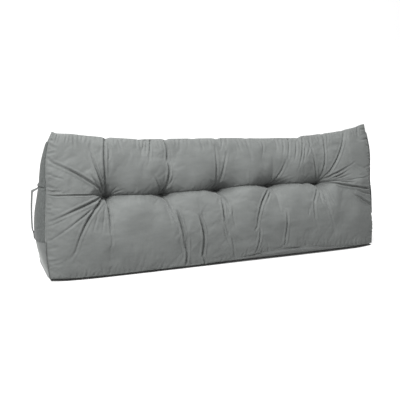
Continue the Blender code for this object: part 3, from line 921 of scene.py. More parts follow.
def cloth_settings(modifier, cut):
    """A light, limp cloth under pressure, with no gravity."""
    cloth = modifier.settings
    cloth.quality = 6
    cloth.mass = 0.15
    cloth.vertex_group_mass = "sewn"
    cloth.tension_stiffness = cloth.compression_stiffness = 20
    cloth.shear_stiffness = 8
    cloth.bending_stiffness = 0.02
    cloth.tension_damping = cloth.compression_damping = cloth.shear_damping = 8
    cloth.air_damping = 3
    cloth.use_pressure = True
    cloth.uniform_pressure_force = cut.pressure
    cloth.shrink_min = cloth.shrink_max = -cut.slack
    cloth.effector_weights.gravity = 0
    modifier.collision_settings.use_collision = False
    modifier.point_cache.frame_start = 1
    modifier.point_cache.frame_end = cut.frames


print("the front's cloth is cut", FRONT_CUT.slack, "larger than its place")

# %% [markdown]
# What the simulation moved on the whole is taken off again by an average over the neighbourhood.
# What is left is the fine part, and a smooth curve carries it over to the finer net.

# %% Settling one panel
def blurred(field, places, heights):
    """A field of moves averaged over its neighbourhood, along the cloth both ways."""
    for axis, spots in ((0, places), (1, heights)):
        gaps = (spots[:, None] - spots[None, :]) / SMOOTHED_OVER
        weights = np.exp(-0.5 * gaps**2)
        weights /= weights.sum(axis=1, keepdims=True)
        field = np.moveaxis(np.tensordot(weights, field, axes=(1, axis)), 0, axis)
    return field


def settle(name, net, places, heights, held, cut):
    """The fine part of how each point of a net moves when its cloth is simulated."""
    made = mesh_object(name, net.reshape(-1, 3), quads(grid_ids(net)))
    sewn = made.vertex_groups.new(name="sewn")
    for number in np.flatnonzero(held.ravel() > HELD_LEAST):
        sewn.add([int(number)], float(held.ravel()[number]), "REPLACE")
    modifier = made.modifiers.new("cloth", "CLOTH")
    cloth_settings(modifier, cut)
    for moment in range(1, cut.frames + 1):
        bpy.context.scene.frame_set(moment)
    settled = made.evaluated_get(bpy.context.evaluated_depsgraph_get()).data
    moved = np.empty(net.size)
    settled.vertices.foreach_get("co", moved)
    bpy.context.scene.frame_set(1)
    bpy.data.objects.remove(made)
    move = moved.reshape(net.shape) - net
    fine = (move - blurred(move, places, heights)) * cut.keep
    fine *= (1 - held**2)[..., None]
    length = np.linalg.norm(fine, axis=-1, keepdims=True)
    print(name, "moves by up to", length.max().round(4), "m, on average", length.mean().round(5))
    return fine * cut.cap / np.maximum(length, cut.cap)


def spread(field, places, rows, fine_places, fine_rows):
    """A field on a coarse net carried over smoothly to a finer one."""
    along_first = smooth_curve(places, field, fine_places)
    return smooth_curve(rows, along_first.swapaxes(0, 1), fine_rows).swapaxes(0, 1)


print("moves are averaged over", SMOOTHED_OVER, "m")

# %% [markdown]
# The two panels are held in different ways. The back is sewn round its rim alone. The front is
# also held at the channel, at the tucks and wherever a fold is pressed in.

# %% The front and the back settled
def front_hold(places, rows):
    """1 where the front is sewn or pressed in, 0 where its cloth is free."""
    up = share_at(places[:, None], rows) * FACE_LENGTH
    pressed = [fold._replace(valley=0.0) for fold in FOLDS]
    held = np.clip(-fold_field(pressed, places[:, None], up) / HELD_DEPTH, 0, 1)
    sewn_along = (places >= TUCKS[0].along) & (places <= TUCKS[-1].along)
    held[sewn_along, SIM_LOWER_ROWS] = 1
    for tuck in TUCKS:
        held[np.hypot(places[:, None] - tuck.along, up - tuck.up) < TUCK_HOLD] = 1
    held[[0, -1]] = 1
    held[:, [0, -1]] = 1
    return held


def settled_front():
    """The fine moves of the simulated front, on the fine net."""
    places = stations(SIM_STEP)
    below = CHANNEL_ROW * np.linspace(0, 1, SIM_LOWER_ROWS + 1)
    above = CHANNEL_ROW + (1 - CHANNEL_ROW) * np.linspace(0, 1, SIM_UPPER_ROWS + 1)
    rows = np.concatenate([below, above[1:]])
    net = front_points(places[:, None], rows)
    held = front_hold(places, rows)
    fine = settle("front cloth", net, places, rows * FACE_LENGTH, held, FRONT_CUT)
    return spread(fine, places, rows, across, rows_up)


def settled_back():
    """The fine moves of the simulated back, on the back's net."""
    places = stations(BACK_SIM_STEP)
    shares = np.linspace(0, 1, SIM_BACK_ROWS + 1)
    net = back_points(places[:, None], shares)[:, ::-1]
    held = np.zeros(net.shape[:2])
    held[[0, -1]] = 1
    held[:, [0, -1]] = 1
    fine = settle("back cloth", net, places, shares * HEIGHT, held, BACK_CUT)
    return spread(fine[:, ::-1], places, shares, across[::2], rows_back)


front_net = front_points(*to_folds(across[:, None], rows_up))
back_net = back_points(across[::2, None], rows_back)
front_net = front_net + settled_front()
back_net = back_net + settled_back()
base_net = base_points(across[::2, None], 1 - base_columns)
end_nets = {side: end_net(side) for side in (-1, 1)}
print("front stands proud to y =", round(float(front_net[..., 1].min() + PLACE[1]), 4))

# %% [markdown]
# ## Joining the panels
# The four nets share their points along each seam, so the cover closes without a hole. Where
# the fine front meets a coarser panel, triangles step from one chain of points to the other.

# %% One closed cover
def stitch(left, right):
    """Triangles between two chains of points that run the same way."""
    faces = []
    i, j = 0, 0
    last_left, last_right = len(left) - 1, len(right) - 1
    while i < last_left or j < last_right:
        if i < last_left and (j == last_right or i * last_right <= j * last_left):
            faces.append((left[i], left[i + 1], right[j]))
            i += 1
        else:
            faces.append((left[i], right[j + 1], right[j]))
            j += 1
    return faces


def add_mesh(name, points, faces, material=None):
    """A smooth mesh object in the frame, from points about the middle between the end seams."""
    made = mesh_object(name, np.asarray(points) + PLACE, faces)
    if material:
        made.data.materials.append(material)
    made.data.shade_smooth()
    return made


def cover_faces():
    """Points and faces of the closed cover."""
    points = [front_net.reshape(-1, 3)]
    front_ids = grid_ids(front_net)
    count = front_ids.size

    def numbered(net):
        nonlocal count
        points.append(net.reshape(-1, 3))
        ids = grid_ids(net, count)
        count += ids.size
        return ids

    ridge = front_ids[::2, -1:]
    foot = front_ids[::2, :1]
    back_ids = np.concatenate([numbered(back_net[:, :-1]), ridge], axis=1)
    base_ids = np.concatenate([foot, numbered(base_net[:, 1:-1]), back_ids[:, :1]], axis=1)
    faces = quads(front_ids) + quads(back_ids[:, :-1][:, ::-1]) + quads(base_ids[:, 1:][:, ::-1])
    faces += [face[::-1] for face in stitch(front_ids[:, -1], back_ids[:, -2])]
    faces += stitch(front_ids[:, 0], base_ids[:, 1])
    for side, edge in ((-1, 0), (1, -1)):
        seam = front_ids[edge]
        inner = numbered(end_nets[side][1:, 1:-1])
        end_ids = np.concatenate([seam[2:-1:2, None], inner, back_ids[edge, 1:-1, None]], axis=1)
        end_ids = np.concatenate([base_ids[edge][None], end_ids], axis=0)
        crown = end_ids[-1]
        made = quads(end_ids[:, 1:].T)
        made += stitch(seam[:-2], end_ids[:, 1])
        made += [(crown[k], seam[-1], crown[k + 1]) for k in range(1, len(crown) - 1)]
        made += [(seam[-3], seam[-2], crown[1]), (seam[-2], seam[-1], crown[1])]
        faces += made if side < 0 else [face[::-1] for face in made]
    return np.concatenate(points), [tuple(int(corner) for corner in face) for face in faces]


cover_points, cover = cover_faces()
print("cover:", len(cover_points), "points,", len(cover), "faces")

# %% [markdown]
# ## Colours and nodes
# Colours are written as the sRGB hex values that a colour chart gives. The renderer works in
# linear light, so one function turns them. One small function adds a node and links it. A wave
# node at scale 1 repeats ten times in pi metres, so its scale is worked out from that.

# %% Colour and node helpers
def colour(hex_value):
    """Linear RGBA from an sRGB hex value such as #808080."""
    channels = np.array([int(hex_value[i : i + 2], 16) / 255 for i in (1, 3, 5)])
    linear = np.where(channels <= 0.04045, channels / 12.92, ((channels + 0.055) / 1.055) ** 2.4)
    return (*linear.tolist(), 1.0)


def node(tree, kind, links=None, inputs=None, **settings):
    """Adds a node of a kind, links what feeds it and sets its other inputs and its settings."""
    made = tree.nodes.new("ShaderNode" + kind)
    for name, value in settings.items():
        setattr(made, name, value)
    for name, value in (inputs or {}).items():
        made.inputs[name].default_value = value
    for name, source in (links or {}).items():
        tree.links.new(source, made.inputs[name])
    return made


def new_material(name):
    """A new empty material and its node tree."""
    material = bpy.data.materials.new(name)
    material.use_nodes = True
    tree = material.node_tree
    tree.nodes.clear()
    return material, tree


def set_stops(ramp, stops):
    """Gives a colour ramp its stops: pairs of a place and an sRGB hex value."""
    for stop, (place, shade) in zip(ramp.elements, stops):
        stop.position = place
        stop.color = colour(shade)


WAVE_TURN = np.pi / 10
print("grey #808080 is", round(colour("#808080")[0], 3), "in linear light")

# %% [markdown]
# ## Velvet
# The cover is a short-pile polyester velvet. Its pile stands up and is brushed by hands, so the
# colour is soft and a little uneven, in streaks across the width, and the pile catches light
# at a glancing angle. That is a rough base with sheen. The pile itself is about 0.3 mm, too
# fine for the picture, so its grain is drawn at 2.2 mm.

# %% Grey polyester velvet
PILE_GRAIN = 0.0022
NAP_STREAK = 0.030
NAP_SHADES = ((0.30, "#4b4d4c"), (0.72, "#535554"))
SEAM_PILE_AND_SHADE = 0.35


def grey_velvet():
    """Short-pile velvet: mottled nap colour, soft sheen and a fine grain."""
    material, tree = new_material("grey_velvet")
    place = node(tree, "TexCoord").outputs["Object"]
    streaks = node(tree, "Mapping", {"Vector": place}, {"Scale": (0.5, 1.0, 1.3)})
    nap_look = {"Scale": 1 / NAP_STREAK, "Detail": 5.0, "Roughness": 0.62}
    nap = node(tree, "TexNoise", {"Vector": streaks.outputs["Vector"]}, nap_look)
    tint = node(tree, "ValToRGB", {"Fac": nap.outputs["Fac"]})
    set_stops(tint.color_ramp, NAP_SHADES)
    # The colour darkens along the velvet seams below the end panels: partly the pile pressed flat
    # there, partly painted shade of the seam's groove.
    seam = node(tree, "Attribute", attribute_name="seam_shade")
    pile_and_shade_range = {"To Min": 1.0, "To Max": SEAM_PILE_AND_SHADE}
    pressed = node(tree, "MapRange", {"Value": seam.outputs["Fac"]}, pile_and_shade_range)
    both = {0: tint.outputs["Color"], "Scale": pressed.outputs["Result"]}
    shaded = node(tree, "VectorMath", both, operation="SCALE")
    grain = node(tree, "TexNoise", {"Vector": place}, {"Scale": 1 / PILE_GRAIN, "Detail": 2.0})
    pile = {"Strength": 0.12, "Distance": 0.0006}
    bump = node(tree, "Bump", {"Height": grain.outputs["Fac"]}, pile)
    shader = node(
        tree,
        "BsdfPrincipled",
        {"Base Color": shaded.outputs["Vector"], "Normal": bump.outputs["Normal"]},
        {
            "Roughness": 0.82,
            "IOR": 1.5,
            "Specular IOR Level": 0.2,
            "Sheen Weight": 0.25,
            "Sheen Roughness": 0.45,
            "Sheen Tint": colour("#c9cccb"),
        },
    )
    node(tree, "OutputMaterial", {"Surface": shader.outputs["BSDF"]})
    return material


velvet = grey_velvet()
print(velvet.name, "with", len(velvet.node_tree.nodes), "nodes")

# %% [markdown]
# Below the end panels velvet is sewn to velvet. The stitches press the pile flat and part it, and
# the groove of the seam lies in shade. Both are painted into the colour as a dark line a few
# millimetres wide: partly the pile's own darker tone, partly painted shade. Each point of the
# cover is given its nearness to those seams, and the colour darkens by it.

# %% The cushion
SEAM_SHADE_WIDTH = 0.0042
SEAM_REACH = 0.06
SEAM_SHADE_TOP = 0.238


def seam_shade(points):
    """1 on the end seams of the front below the panels, falling to 0 a few millimetres off."""
    shade = np.zeros(len(points))
    low_rows = rows_up < SEAM_SHADE_TOP
    for edge in (0, -1):
        seam = front_net[edge, low_rows]
        near = np.flatnonzero(np.abs(points[:, 0] - seam[:, 0].mean()) < SEAM_REACH)
        gaps = np.linalg.norm(points[near][:, None] - seam, axis=-1).min(axis=1)
        shade[near] = np.maximum(shade[near], np.exp(-((gaps / SEAM_SHADE_WIDTH) ** 2)))
    return shade


cushion = add_mesh("velvet_cushion", cover_points, cover, velvet)
# Nearness to the seams, which darkens the colour there: pressed pile and painted shade.
pile_and_shade_attribute = cushion.data.attributes.new("seam_shade", "FLOAT", "POINT")
pile_and_shade_attribute.data.foreach_set("value", seam_shade(cover_points))
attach(cushion, "root")
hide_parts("cushion")
print("cushion:", len(cushion.data.polygons), "faces")

# %% [markdown]
# ## End cloth
# The ends are covered in a flat-woven polyester with a melange yarn: light and dark fibres are
# spun together, so the cloth looks mottled and stays matt. Its yarns are about 0.5 mm, too fine
# for the picture, so the weave is drawn as waves of 5 mm and the mottle at 7 mm.

# %% Dark melange weave
YARN_WAVE = 0.0050265
MOTTLE = 0.007
MELANGE_SHADES = ((0.34, "#333534"), (0.66, "#4a4d4c"))


def melange_cloth():
    """Flat weave of two-tone yarns: fine mottle, a plain-weave bump and no gloss."""
    material, tree = new_material("dark_mottled_cloth")
    place = node(tree, "TexCoord").outputs["Object"]
    mottle_look = {"Scale": 1 / MOTTLE, "Detail": 6.0, "Roughness": 0.75}
    mottle = node(tree, "TexNoise", {"Vector": place}, mottle_look)
    tint = node(tree, "ValToRGB", {"Fac": mottle.outputs["Fac"]})
    set_stops(tint.color_ramp, MELANGE_SHADES)
    yarn = {"Scale": WAVE_TURN / YARN_WAVE, "Distortion": 0.6}
    weft, warp = (
        node(tree, "TexWave", {"Vector": place}, yarn, bands_direction=direction).outputs["Fac"]
        for direction in ("Y", "Z")
    )
    weave = node(tree, "Math", {0: weft, 1: warp}, operation="MULTIPLY")
    relief = {"Strength": 0.35, "Distance": 0.0005}
    bump = node(tree, "Bump", {"Height": weave.outputs["Value"]}, relief)
    shader = node(
        tree,
        "BsdfPrincipled",
        {"Base Color": tint.outputs["Color"], "Normal": bump.outputs["Normal"]},
        {"Roughness": 0.92, "IOR": 1.5, "Specular IOR Level": 0.15, "Sheen Weight": 0.1},
    )
    node(tree, "OutputMaterial", {"Surface": shader.outputs["BSDF"]})
    return material


melange = melange_cloth()
print(melange.name, "with", len(melange.node_tree.nodes), "nodes")

# %% [markdown]
# ## End panels
# Each end is one cut piece, turned under at its edge and topstitched. It lies on the domed end
# like a lid. The sheet is drawn as two skins about 2 mm apart over the same dome as the cushion's
# own end, half a millimetre clear of it.

# %% Sizes of the end panels
PANEL_ROWS = np.linspace(0.238, 0.925, 157)
PANEL_COUNT = 57
PANEL_FROM = {-1: 0.018, 1: 0.065}
PANEL_TO = 0.980
PANEL_CLEAR = 0.0005
PANEL_THICKNESS = 0.0018
HEM_THICKNESS = 0.0006
HEM_WIDTH = 0.006
HEM_SOFT = 0.002
EDGE_ROUND = 0.0015
EDGE_THINNER = 0.7
FRONT_CROWDING = 0.9
SIDES = ((-1, "left"), (1, "right"))
print("the panels reach up to share", PANEL_ROWS[-1], "of the rows")

# %% [markdown]
# A thin sheet needs the way out of the cloth at each point, the distance from its edge, and
# faces on both skins and round the rim.

# %% Helpers for thin sheets
def grid_normals(grid, side):
    """Unit normals of a grid of points, turned to the outside of the given end."""
    rise = np.gradient(grid, axis=0)
    reach = np.gradient(grid, axis=1)
    normals = np.cross(rise, reach)
    normals /= np.linalg.norm(normals, axis=-1, keepdims=True)
    return normals * np.sign(side * normals[..., :1].mean())


def steps(grid, axis):
    """The lengths of the steps between the points of a grid, along one axis of it."""
    return np.linalg.norm(np.diff(grid, axis=axis), axis=-1)


def from_rim(grid):
    """How far each point of a grid lies from its nearest edge, measured along the cloth."""
    up = np.cumsum(np.pad(steps(grid, 0), ((1, 0), (0, 0))), axis=0)
    wide = np.cumsum(np.pad(steps(grid, 1), ((0, 0), (1, 0))), axis=1)
    from_sides = np.minimum(wide, wide[:, -1:] - wide)
    return np.minimum(from_sides, np.minimum(up, up[-1:] - up))


def closed_sheet(name, inner, outer, material, side):
    """A closed thin sheet between two grids of points."""
    ids = grid_ids(inner)
    size = ids.size
    faces = [face[::-1] for face in quads(ids)] + quads(ids + size)
    rim = [*ids[0], *ids[1:, -1], *ids[-1, -2::-1], *ids[-2:0:-1, 0]]
    for here, after in zip(rim, rim[1:] + rim[:1]):
        faces.append((int(here), int(after), int(after + size), int(here + size)))
    if side > 0:
        faces = [face[::-1] for face in faces]
    points = np.concatenate([inner.reshape(-1, 3), outer.reshape(-1, 3)])
    return add_mesh(name, points, faces, material)


print("the hem is thicker over the last", HEM_WIDTH, "m")

# %% [markdown]
# Both skins follow the dome of the cushion's end, so the panel lies close on it everywhere. It
# is a little thicker along the rim, where its edge is turned under.

# %% Two skins over each domed end
def end_panel(side):
    """The inner and outer skin of one end panel, and the way out of the cloth at each point."""
    spacing = (0.5 - 0.5 * np.cos(np.pi * np.linspace(0, 1, PANEL_COUNT))) ** FRONT_CROWDING
    columns = PANEL_FROM[side] + (PANEL_TO - PANEL_FROM[side]) * spacing
    base = end_points(side, PANEL_ROWS[:, None], columns)
    normals = grid_normals(base, side)
    rim = from_rim(base)
    hem = ease((HEM_WIDTH - rim) / HEM_SOFT)
    arc = np.sqrt(1 - (1 - np.clip(rim / EDGE_ROUND, 0, 1)) ** 2)
    thick = (PANEL_THICKNESS + HEM_THICKNESS * hem) * (1 - EDGE_THINNER * (1 - arc))
    return base + normals * PANEL_CLEAR, base + normals * (PANEL_CLEAR + thick)[..., None], normals


panels = {}
skins = {}
for side, name in SIDES:
    inner, outer, normals = end_panel(side)
    panel = closed_sheet("end_cloth_" + name, inner, outer, melange, side)
    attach(panel, "root")
    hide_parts("end_panel_" + name)
    panels[side] = panel
    skins[side] = outer, normals
    up, wide = steps(outer, 0), steps(outer, 1)
    area = (up[:, :-1] * wide[:-1]).sum()
    longest = up.sum(0).max(), wide.sum(1).max()
    print(panel.name, "longest line up and across, and area:", np.round((*longest, area), 4))

# %% [markdown]
# A row of topstitching holds each turned edge, 5 mm in. Each stitch is a short length of thread
# with rounded ends that lies on the cloth. They are drawn 4.2 mm apart, about one and a half
# times a machine's real step, so that they still show.

# %% One stitch
STITCH_IN = 0.005
Stitch = namedtuple("Stitch", "step length radius")
HEM_STITCH = Stitch(0.0042, 0.0030, 0.00042)
Ring = namedtuple("Ring", "share size lift")
STITCH_RINGS = (
    Ring(-0.5, 0.15, -0.35),
    Ring(-0.4, 0.75, -0.1),
    Ring(-0.15, 1.0, 0.35),
    Ring(0.15, 1.0, 0.35),
    Ring(0.4, 0.75, -0.1),
    Ring(0.5, 0.15, -0.35),
)
STITCH_RAISED = 0.9
STITCH_SIDES = 6


def at_gone(spot, gone, values):
    """The value of a path at a distance gone along it."""
    return np.array([np.interp(spot, gone, values[:, k]) for k in range(3)])


def one_stitch(centre, ahead, out, stitch):
    """The rings of points of one stitch, as a flat list."""
    sideways = np.cross(ahead, out)
    points = []
    for ring in STITCH_RINGS:
        raised = out * (ring.lift + STITCH_RAISED) * stitch.radius
        middle = centre + ahead * ring.share * stitch.length + raised
        for turn in np.linspace(0, 2 * np.pi, STITCH_SIDES, endpoint=False):
            round_it = np.cos(turn) * sideways + np.sin(turn) * out
            points.append(middle + stitch.radius * ring.size * round_it)
    return points


def stitch_faces(first):
    """The faces of one stitch whose points are numbered from the first."""
    ids = first + np.arange(len(STITCH_RINGS) * STITCH_SIDES).reshape(-1, STITCH_SIDES)
    faces = []
    for ring, after in zip(ids, ids[1:]):
        for k in range(STITCH_SIDES):
            beside = (k + 1) % STITCH_SIDES
            faces.append((ring[k], after[k], after[beside], ring[beside]))
    faces += [tuple(ids[0]), tuple(ids[-1][::-1])]
    return [tuple(int(corner) for corner in face) for face in faces]


print("one stitch has", len(stitch_faces(0)), "faces")

# %% [markdown]
# A row of stitches needs a path on the cloth and the way out of it. The path is read off the
# panel's own outer skin, at the places that lie just far enough from the edge.

# %% Rows of stitches
def stitch_row(path, normals, stitch):
    """Points and faces of raised stitches along a path that lies on the cloth."""
    gone = np.concatenate([[0], np.cumsum(steps(path, 0))])
    points, faces = [], []
    for spot in np.arange(stitch.step, gone[-1] - stitch.step, stitch.step):
        centre = at_gone(spot, gone, path)
        ahead = at_gone(spot + 0.5 * stitch.length, gone, path) - centre
        ahead /= np.linalg.norm(ahead)
        out = at_gone(spot, gone, normals)
        out -= ahead * (out @ ahead)
        out /= np.linalg.norm(out)
        faces += stitch_faces(len(points))
        points += one_stitch(centre, ahead, out, stitch)
    return points, faces


def hem_path(side):
    """The line a stitch row follows: up the front edge, down the back edge, along the foot."""
    outer, normals = skins[side]
    inside = from_rim(outer) >= STITCH_IN
    columns = inside.shape[1]
    low, high = np.flatnonzero(inside[:, columns // 2])[[0, -1]]
    rows = [row for row in range(low, high) if inside[row].any()]
    spots = [(row, np.flatnonzero(inside[row])[0]) for row in rows]
    spots += [(row, np.flatnonzero(inside[row])[-1]) for row in reversed(rows)]
    spots += [(low, column) for column in reversed(range(columns)) if inside[low, column]]
    spots = tuple(np.array(spots).T)
    return outer[spots], normals[spots]


print("the stitches run", STITCH_IN, "m inside the edge")

# %% [markdown]
# The thread is spun polyester. It is matt, and its twist is so fine that it shows only as a
# slight roughness, drawn about once a millimetre.

# %% Topstitching round the end panels
THREAD = "#484a49"
TWISTS_PER_METRE = 900.0


def thread_material():
    """Spun polyester sewing thread: matt, twisted, a shade lighter than the webbing."""
    material, tree = new_material("sewing_thread")
    place = node(tree, "TexCoord").outputs["Object"]
    twist = node(tree, "TexNoise", {"Vector": place}, {"Scale": TWISTS_PER_METRE, "Detail": 1.0})
    relief = {"Strength": 0.3, "Distance": 0.0003}
    bump = node(tree, "Bump", {"Height": twist.outputs["Fac"]}, relief)
    look = {"Base Color": colour(THREAD), "Roughness": 0.75, "IOR": 1.5}
    shader = node(tree, "BsdfPrincipled", {"Normal": bump.outputs["Normal"]}, look)
    node(tree, "OutputMaterial", {"Surface": shader.outputs["BSDF"]})
    return material


thread = thread_material()
for side, name in SIDES:
    points, faces = stitch_row(*hem_path(side), HEM_STITCH)
    row = add_mesh("topstitching_" + name, points, faces, thread)
    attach(row, "root")
    print(row.name, len(faces), "faces")

# %% [markdown]
# The flat cut of an end panel is a tall triangle with a blunt top. Its longest lines, measured
# along the cloth, give the rectangle that it was cut from.

# %% Cut sizes of the end panels
FlatCut = namedtuple("FlatCut", "wide tall area")
PANEL_CUT = {-1: FlatCut(0.159, 0.376, 0.0346), 1: FlatCut(0.155, 0.366, 0.0346)}
for side, (wide, tall, cut_area) in PANEL_CUT.items():
    print(panels[side].name, "is cut from", wide, "by", tall, "m of cloth")

# %% [markdown]
# ## Strap handle
# The handle is a length of 25 mm polyester webbing, doubled under and boxed down at both ends,
# with enough slack between for the fingers. Webbing is woven with fat lengthwise ribs and a
# rounded selvedge on each side, so those are modelled; the fine cross yarns are in the finish.

# %% Ribbed webbing
STRAP_WIDTH = 0.025
STRAP_THICKNESS = 0.0026
STRAP_Y = 0.150
STRAP_LOW = 0.112
STRAP_HIGH = 0.318
STRAP_TAB = 0.016
STRAP_RISE = 0.014
STRAP_OUT = 0.7300
STRAP_BOW = 0.005
STRAP_CLEAR = 0.0006
RIBS = 9
RIB_DEPTH = 0.00030
STRAP_ROWS = 140
STRAP_COLUMNS = 82
SELVEDGE_POWER = 24
SELVEDGE_LEFT = 0.25
CUT_END_LEFT = 0.3
CROSS_YARN_WAVE = 0.0022
FLECKS_PER_METRE = 420.0
WEBBING_SHADES = ((0.35, "#2b2d2c"), (0.65, "#393b3a"))


def webbing_material():
    """Woven polyester webbing: cross yarns on the ribs, matt with a faint lustre."""
    material, tree = new_material("grey_webbing")
    place = node(tree, "TexCoord").outputs["Object"]
    yarn = {"Scale": WAVE_TURN / CROSS_YARN_WAVE, "Distortion": 1.2, "Detail": 1.0}
    cross = node(tree, "TexWave", {"Vector": place}, yarn, bands_direction="Z")
    fleck = node(tree, "TexNoise", {"Vector": place}, {"Scale": FLECKS_PER_METRE, "Detail": 3.0})
    tint = node(tree, "ValToRGB", {"Fac": fleck.outputs["Fac"]})
    set_stops(tint.color_ramp, WEBBING_SHADES)
    relief = {"Strength": 0.5, "Distance": 0.0004}
    bump = node(tree, "Bump", {"Height": cross.outputs["Fac"]}, relief)
    shader = node(
        tree,
        "BsdfPrincipled",
        {"Base Color": tint.outputs["Color"], "Normal": bump.outputs["Normal"]},
        {"Roughness": 0.7, "IOR": 1.5, "Sheen Weight": 0.15},
    )
    node(tree, "OutputMaterial", {"Surface": shader.outputs["BSDF"]})
    return material


webbing = webbing_material()
print(webbing.name, "with", len(webbing.node_tree.nodes), "nodes")

# %% [markdown]
# The strap's seat is found by rays from the left onto the panel, so both tabs lie on the cloth
# whatever its shape. Between the tabs the strap hangs clear of it.

# %% The strap's two skins
def strap_seat(heights, spots):
    """Where the outer skin of the left panel lies behind each point of the strap."""
    surface = BVHTree.FromObject(panels[-1], bpy.context.evaluated_depsgraph_get())
    seat = np.empty((len(heights), len(spots)))
    for i, z in enumerate(heights):
        for k, y in enumerate(spots):
            start = Vector((-WIDTH, y + PLACE[1], z))
            seat[i, k] = surface.ray_cast(start, Vector((1, 0, 0)))[0].x - PLACE[0]
    return seat


def strap_skins():
    """The inner and outer skin of the webbing."""
    heights = np.linspace(STRAP_LOW, STRAP_HIGH, STRAP_ROWS)
    shares = np.linspace(-0.5, 0.5, STRAP_COLUMNS)
    spots = STRAP_Y + STRAP_WIDTH * shares
    seat = strap_seat(heights, spots) - STRAP_CLEAR
    middle = (STRAP_LOW + STRAP_HIGH) / 2
    bow = STRAP_BOW * ((heights[:, None] - middle) / (STRAP_HIGH - middle)) ** 2
    hung = STRAP_THICKNESS - STRAP_OUT + bow
    from_end = np.minimum(heights - STRAP_LOW, STRAP_HIGH - heights)[:, None]
    inner_x = seat + np.minimum(hung - seat, 0) * ease((from_end - STRAP_TAB) / STRAP_RISE)
    rib = RIB_DEPTH * (0.5 - 0.5 * np.cos(2 * np.pi * RIBS * (shares + 0.5)))
    selvedge = np.sqrt(np.clip(1 - np.abs(2 * shares) ** SELVEDGE_POWER, 0, 1))
    end_round = np.sqrt(1 - (1 - np.clip(from_end / EDGE_ROUND, 0, 1)) ** 2)
    thick = (STRAP_THICKNESS - RIB_DEPTH + rib) * (SELVEDGE_LEFT + (1 - SELVEDGE_LEFT) * selvedge)
    thick = thick * (CUT_END_LEFT + (1 - CUT_END_LEFT) * end_round)
    y = np.broadcast_to(spots, inner_x.shape)
    z = np.broadcast_to(heights[:, None], inner_x.shape)
    inner = np.stack([inner_x, y, z], -1)
    outer = np.stack([inner_x - thick, y, z], -1)
    return inner, outer


strap_inner, strap_outer = strap_skins()
strap = closed_sheet("webbing_strap", strap_inner, strap_outer, webbing, -1)
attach(strap, "root")
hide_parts("handle_left")
print("strap:", len(strap.data.polygons), "faces")

# %% [markdown]
# Each tab is sewn down in a box with a cross in it, the usual way to fix webbing that carries a
# load.

# %% Boxed cross stitches on the tabs
BOX_IN = 0.0035
BOX_LOW = 0.003
BOX_SHORTER = 0.005
TOP_BOX_LOW = 0.001
LINE_POINTS = 24
TAB_STITCH = Stitch(0.0032, 0.0024, 0.00036)


def on_strap(share_across, height):
    """A point on the outer skin of the strap."""
    row = (height - STRAP_LOW) / (STRAP_HIGH - STRAP_LOW) * (STRAP_ROWS - 1)
    column = share_across * (STRAP_COLUMNS - 1)
    return strap_outer[int(round(row)), int(round(column))]


def box_lines(low, high):
    """The lines of one boxed cross, as pairs of (share across, height)."""
    left = BOX_IN / STRAP_WIDTH
    right = 1 - left
    a, b, c, d = (left, low), (right, low), (right, high), (left, high)
    return ((a, b), (b, c), (c, d), (d, a), (a, c), (b, d))


tab_points, tab_faces = [], []
for low in (STRAP_LOW + BOX_LOW, STRAP_HIGH - STRAP_TAB + TOP_BOX_LOW):
    for (s0, z0), (s1, z1) in box_lines(low, low + STRAP_TAB - BOX_SHORTER):
        shares = np.linspace(0, 1, LINE_POINTS)
        path = np.array([on_strap(s0 + (s1 - s0) * t, z0 + (z1 - z0) * t) for t in shares])
        outs = np.tile((-1.0, 0.0, 0.0), (len(path), 1))
        made_points, made_faces = stitch_row(path, outs, TAB_STITCH)
        first = len(tab_points)
        tab_points += made_points
        tab_faces += [tuple(first + corner for corner in face) for face in made_faces]
tab_stitches = add_mesh("strap_stitching", tab_points, tab_faces, thread)
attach(tab_stitches, "root")
print(tab_stitches.name, len(tab_faces), "faces")

# %% [markdown]
# ## Stage
# The cushion stands on a pale studio floor that runs up into a pale backdrop, in a wide soft
# light from the upper left. The camera stands to the left and well above the ridge. Its place
# and its turn were worked out from the corners and the seams in the photograph.

# %% Camera
FOCAL_PIXELS = 699.0
PICTURE_PIXELS = 400
SENSOR = 36.0
CAMERA_YAW = np.radians(24.454)
CAMERA_PITCH = np.radians(18.598)
CAMERA_ROLL = np.radians(-3.931)
CAMERA_PLACE = np.array((-1.1565, -2.2461, 1.0939))


def camera_axes():
    """The directions right, up and back of the camera."""
    yaw, pitch, roll = CAMERA_YAW, CAMERA_PITCH, CAMERA_ROLL
    ahead = Vector((np.sin(yaw) * np.cos(pitch), np.cos(yaw) * np.cos(pitch), -np.sin(pitch)))
    level = Vector((np.cos(yaw), -np.sin(yaw), 0))
    down = ahead.cross(level)
    right = np.cos(roll) * level + np.sin(roll) * down
    below = -np.sin(roll) * level + np.cos(roll) * down
    return right, -below, -ahead


camera_data = bpy.data.cameras.new("camera")
camera_data.sensor_width = SENSOR
camera_data.lens = FOCAL_PIXELS / PICTURE_PIXELS * SENSOR
camera = in_scene("camera", camera_data)
turned = Matrix(camera_axes()).transposed().to_4x4()
turned.translation = Vector(CAMERA_PLACE + PLACE)
camera.matrix_world = turned
bpy.context.scene.camera = camera
print("the lens is", round(camera_data.lens, 1), "mm")

# %% [markdown]
# The photograph's ground is plain white right up to the cushion, without a shadow. Paper that
# glows by itself gives that. Where the cushion stands on it the glow is left off, so that none
# of it leaks out along the lower edge.

# %% Floor and backdrop
FLOOR_REACH = 6.0
BACKDROP_RADIUS = 1.2
BACKDROP_HEIGHT = 4.0
SWEEP_STEPS = 24
SWEEP_FROM = 2.2
PAPER_GLOW = 0.80
UNDER_SOFT = 0.004
END_DRAWN_IN = 0.009


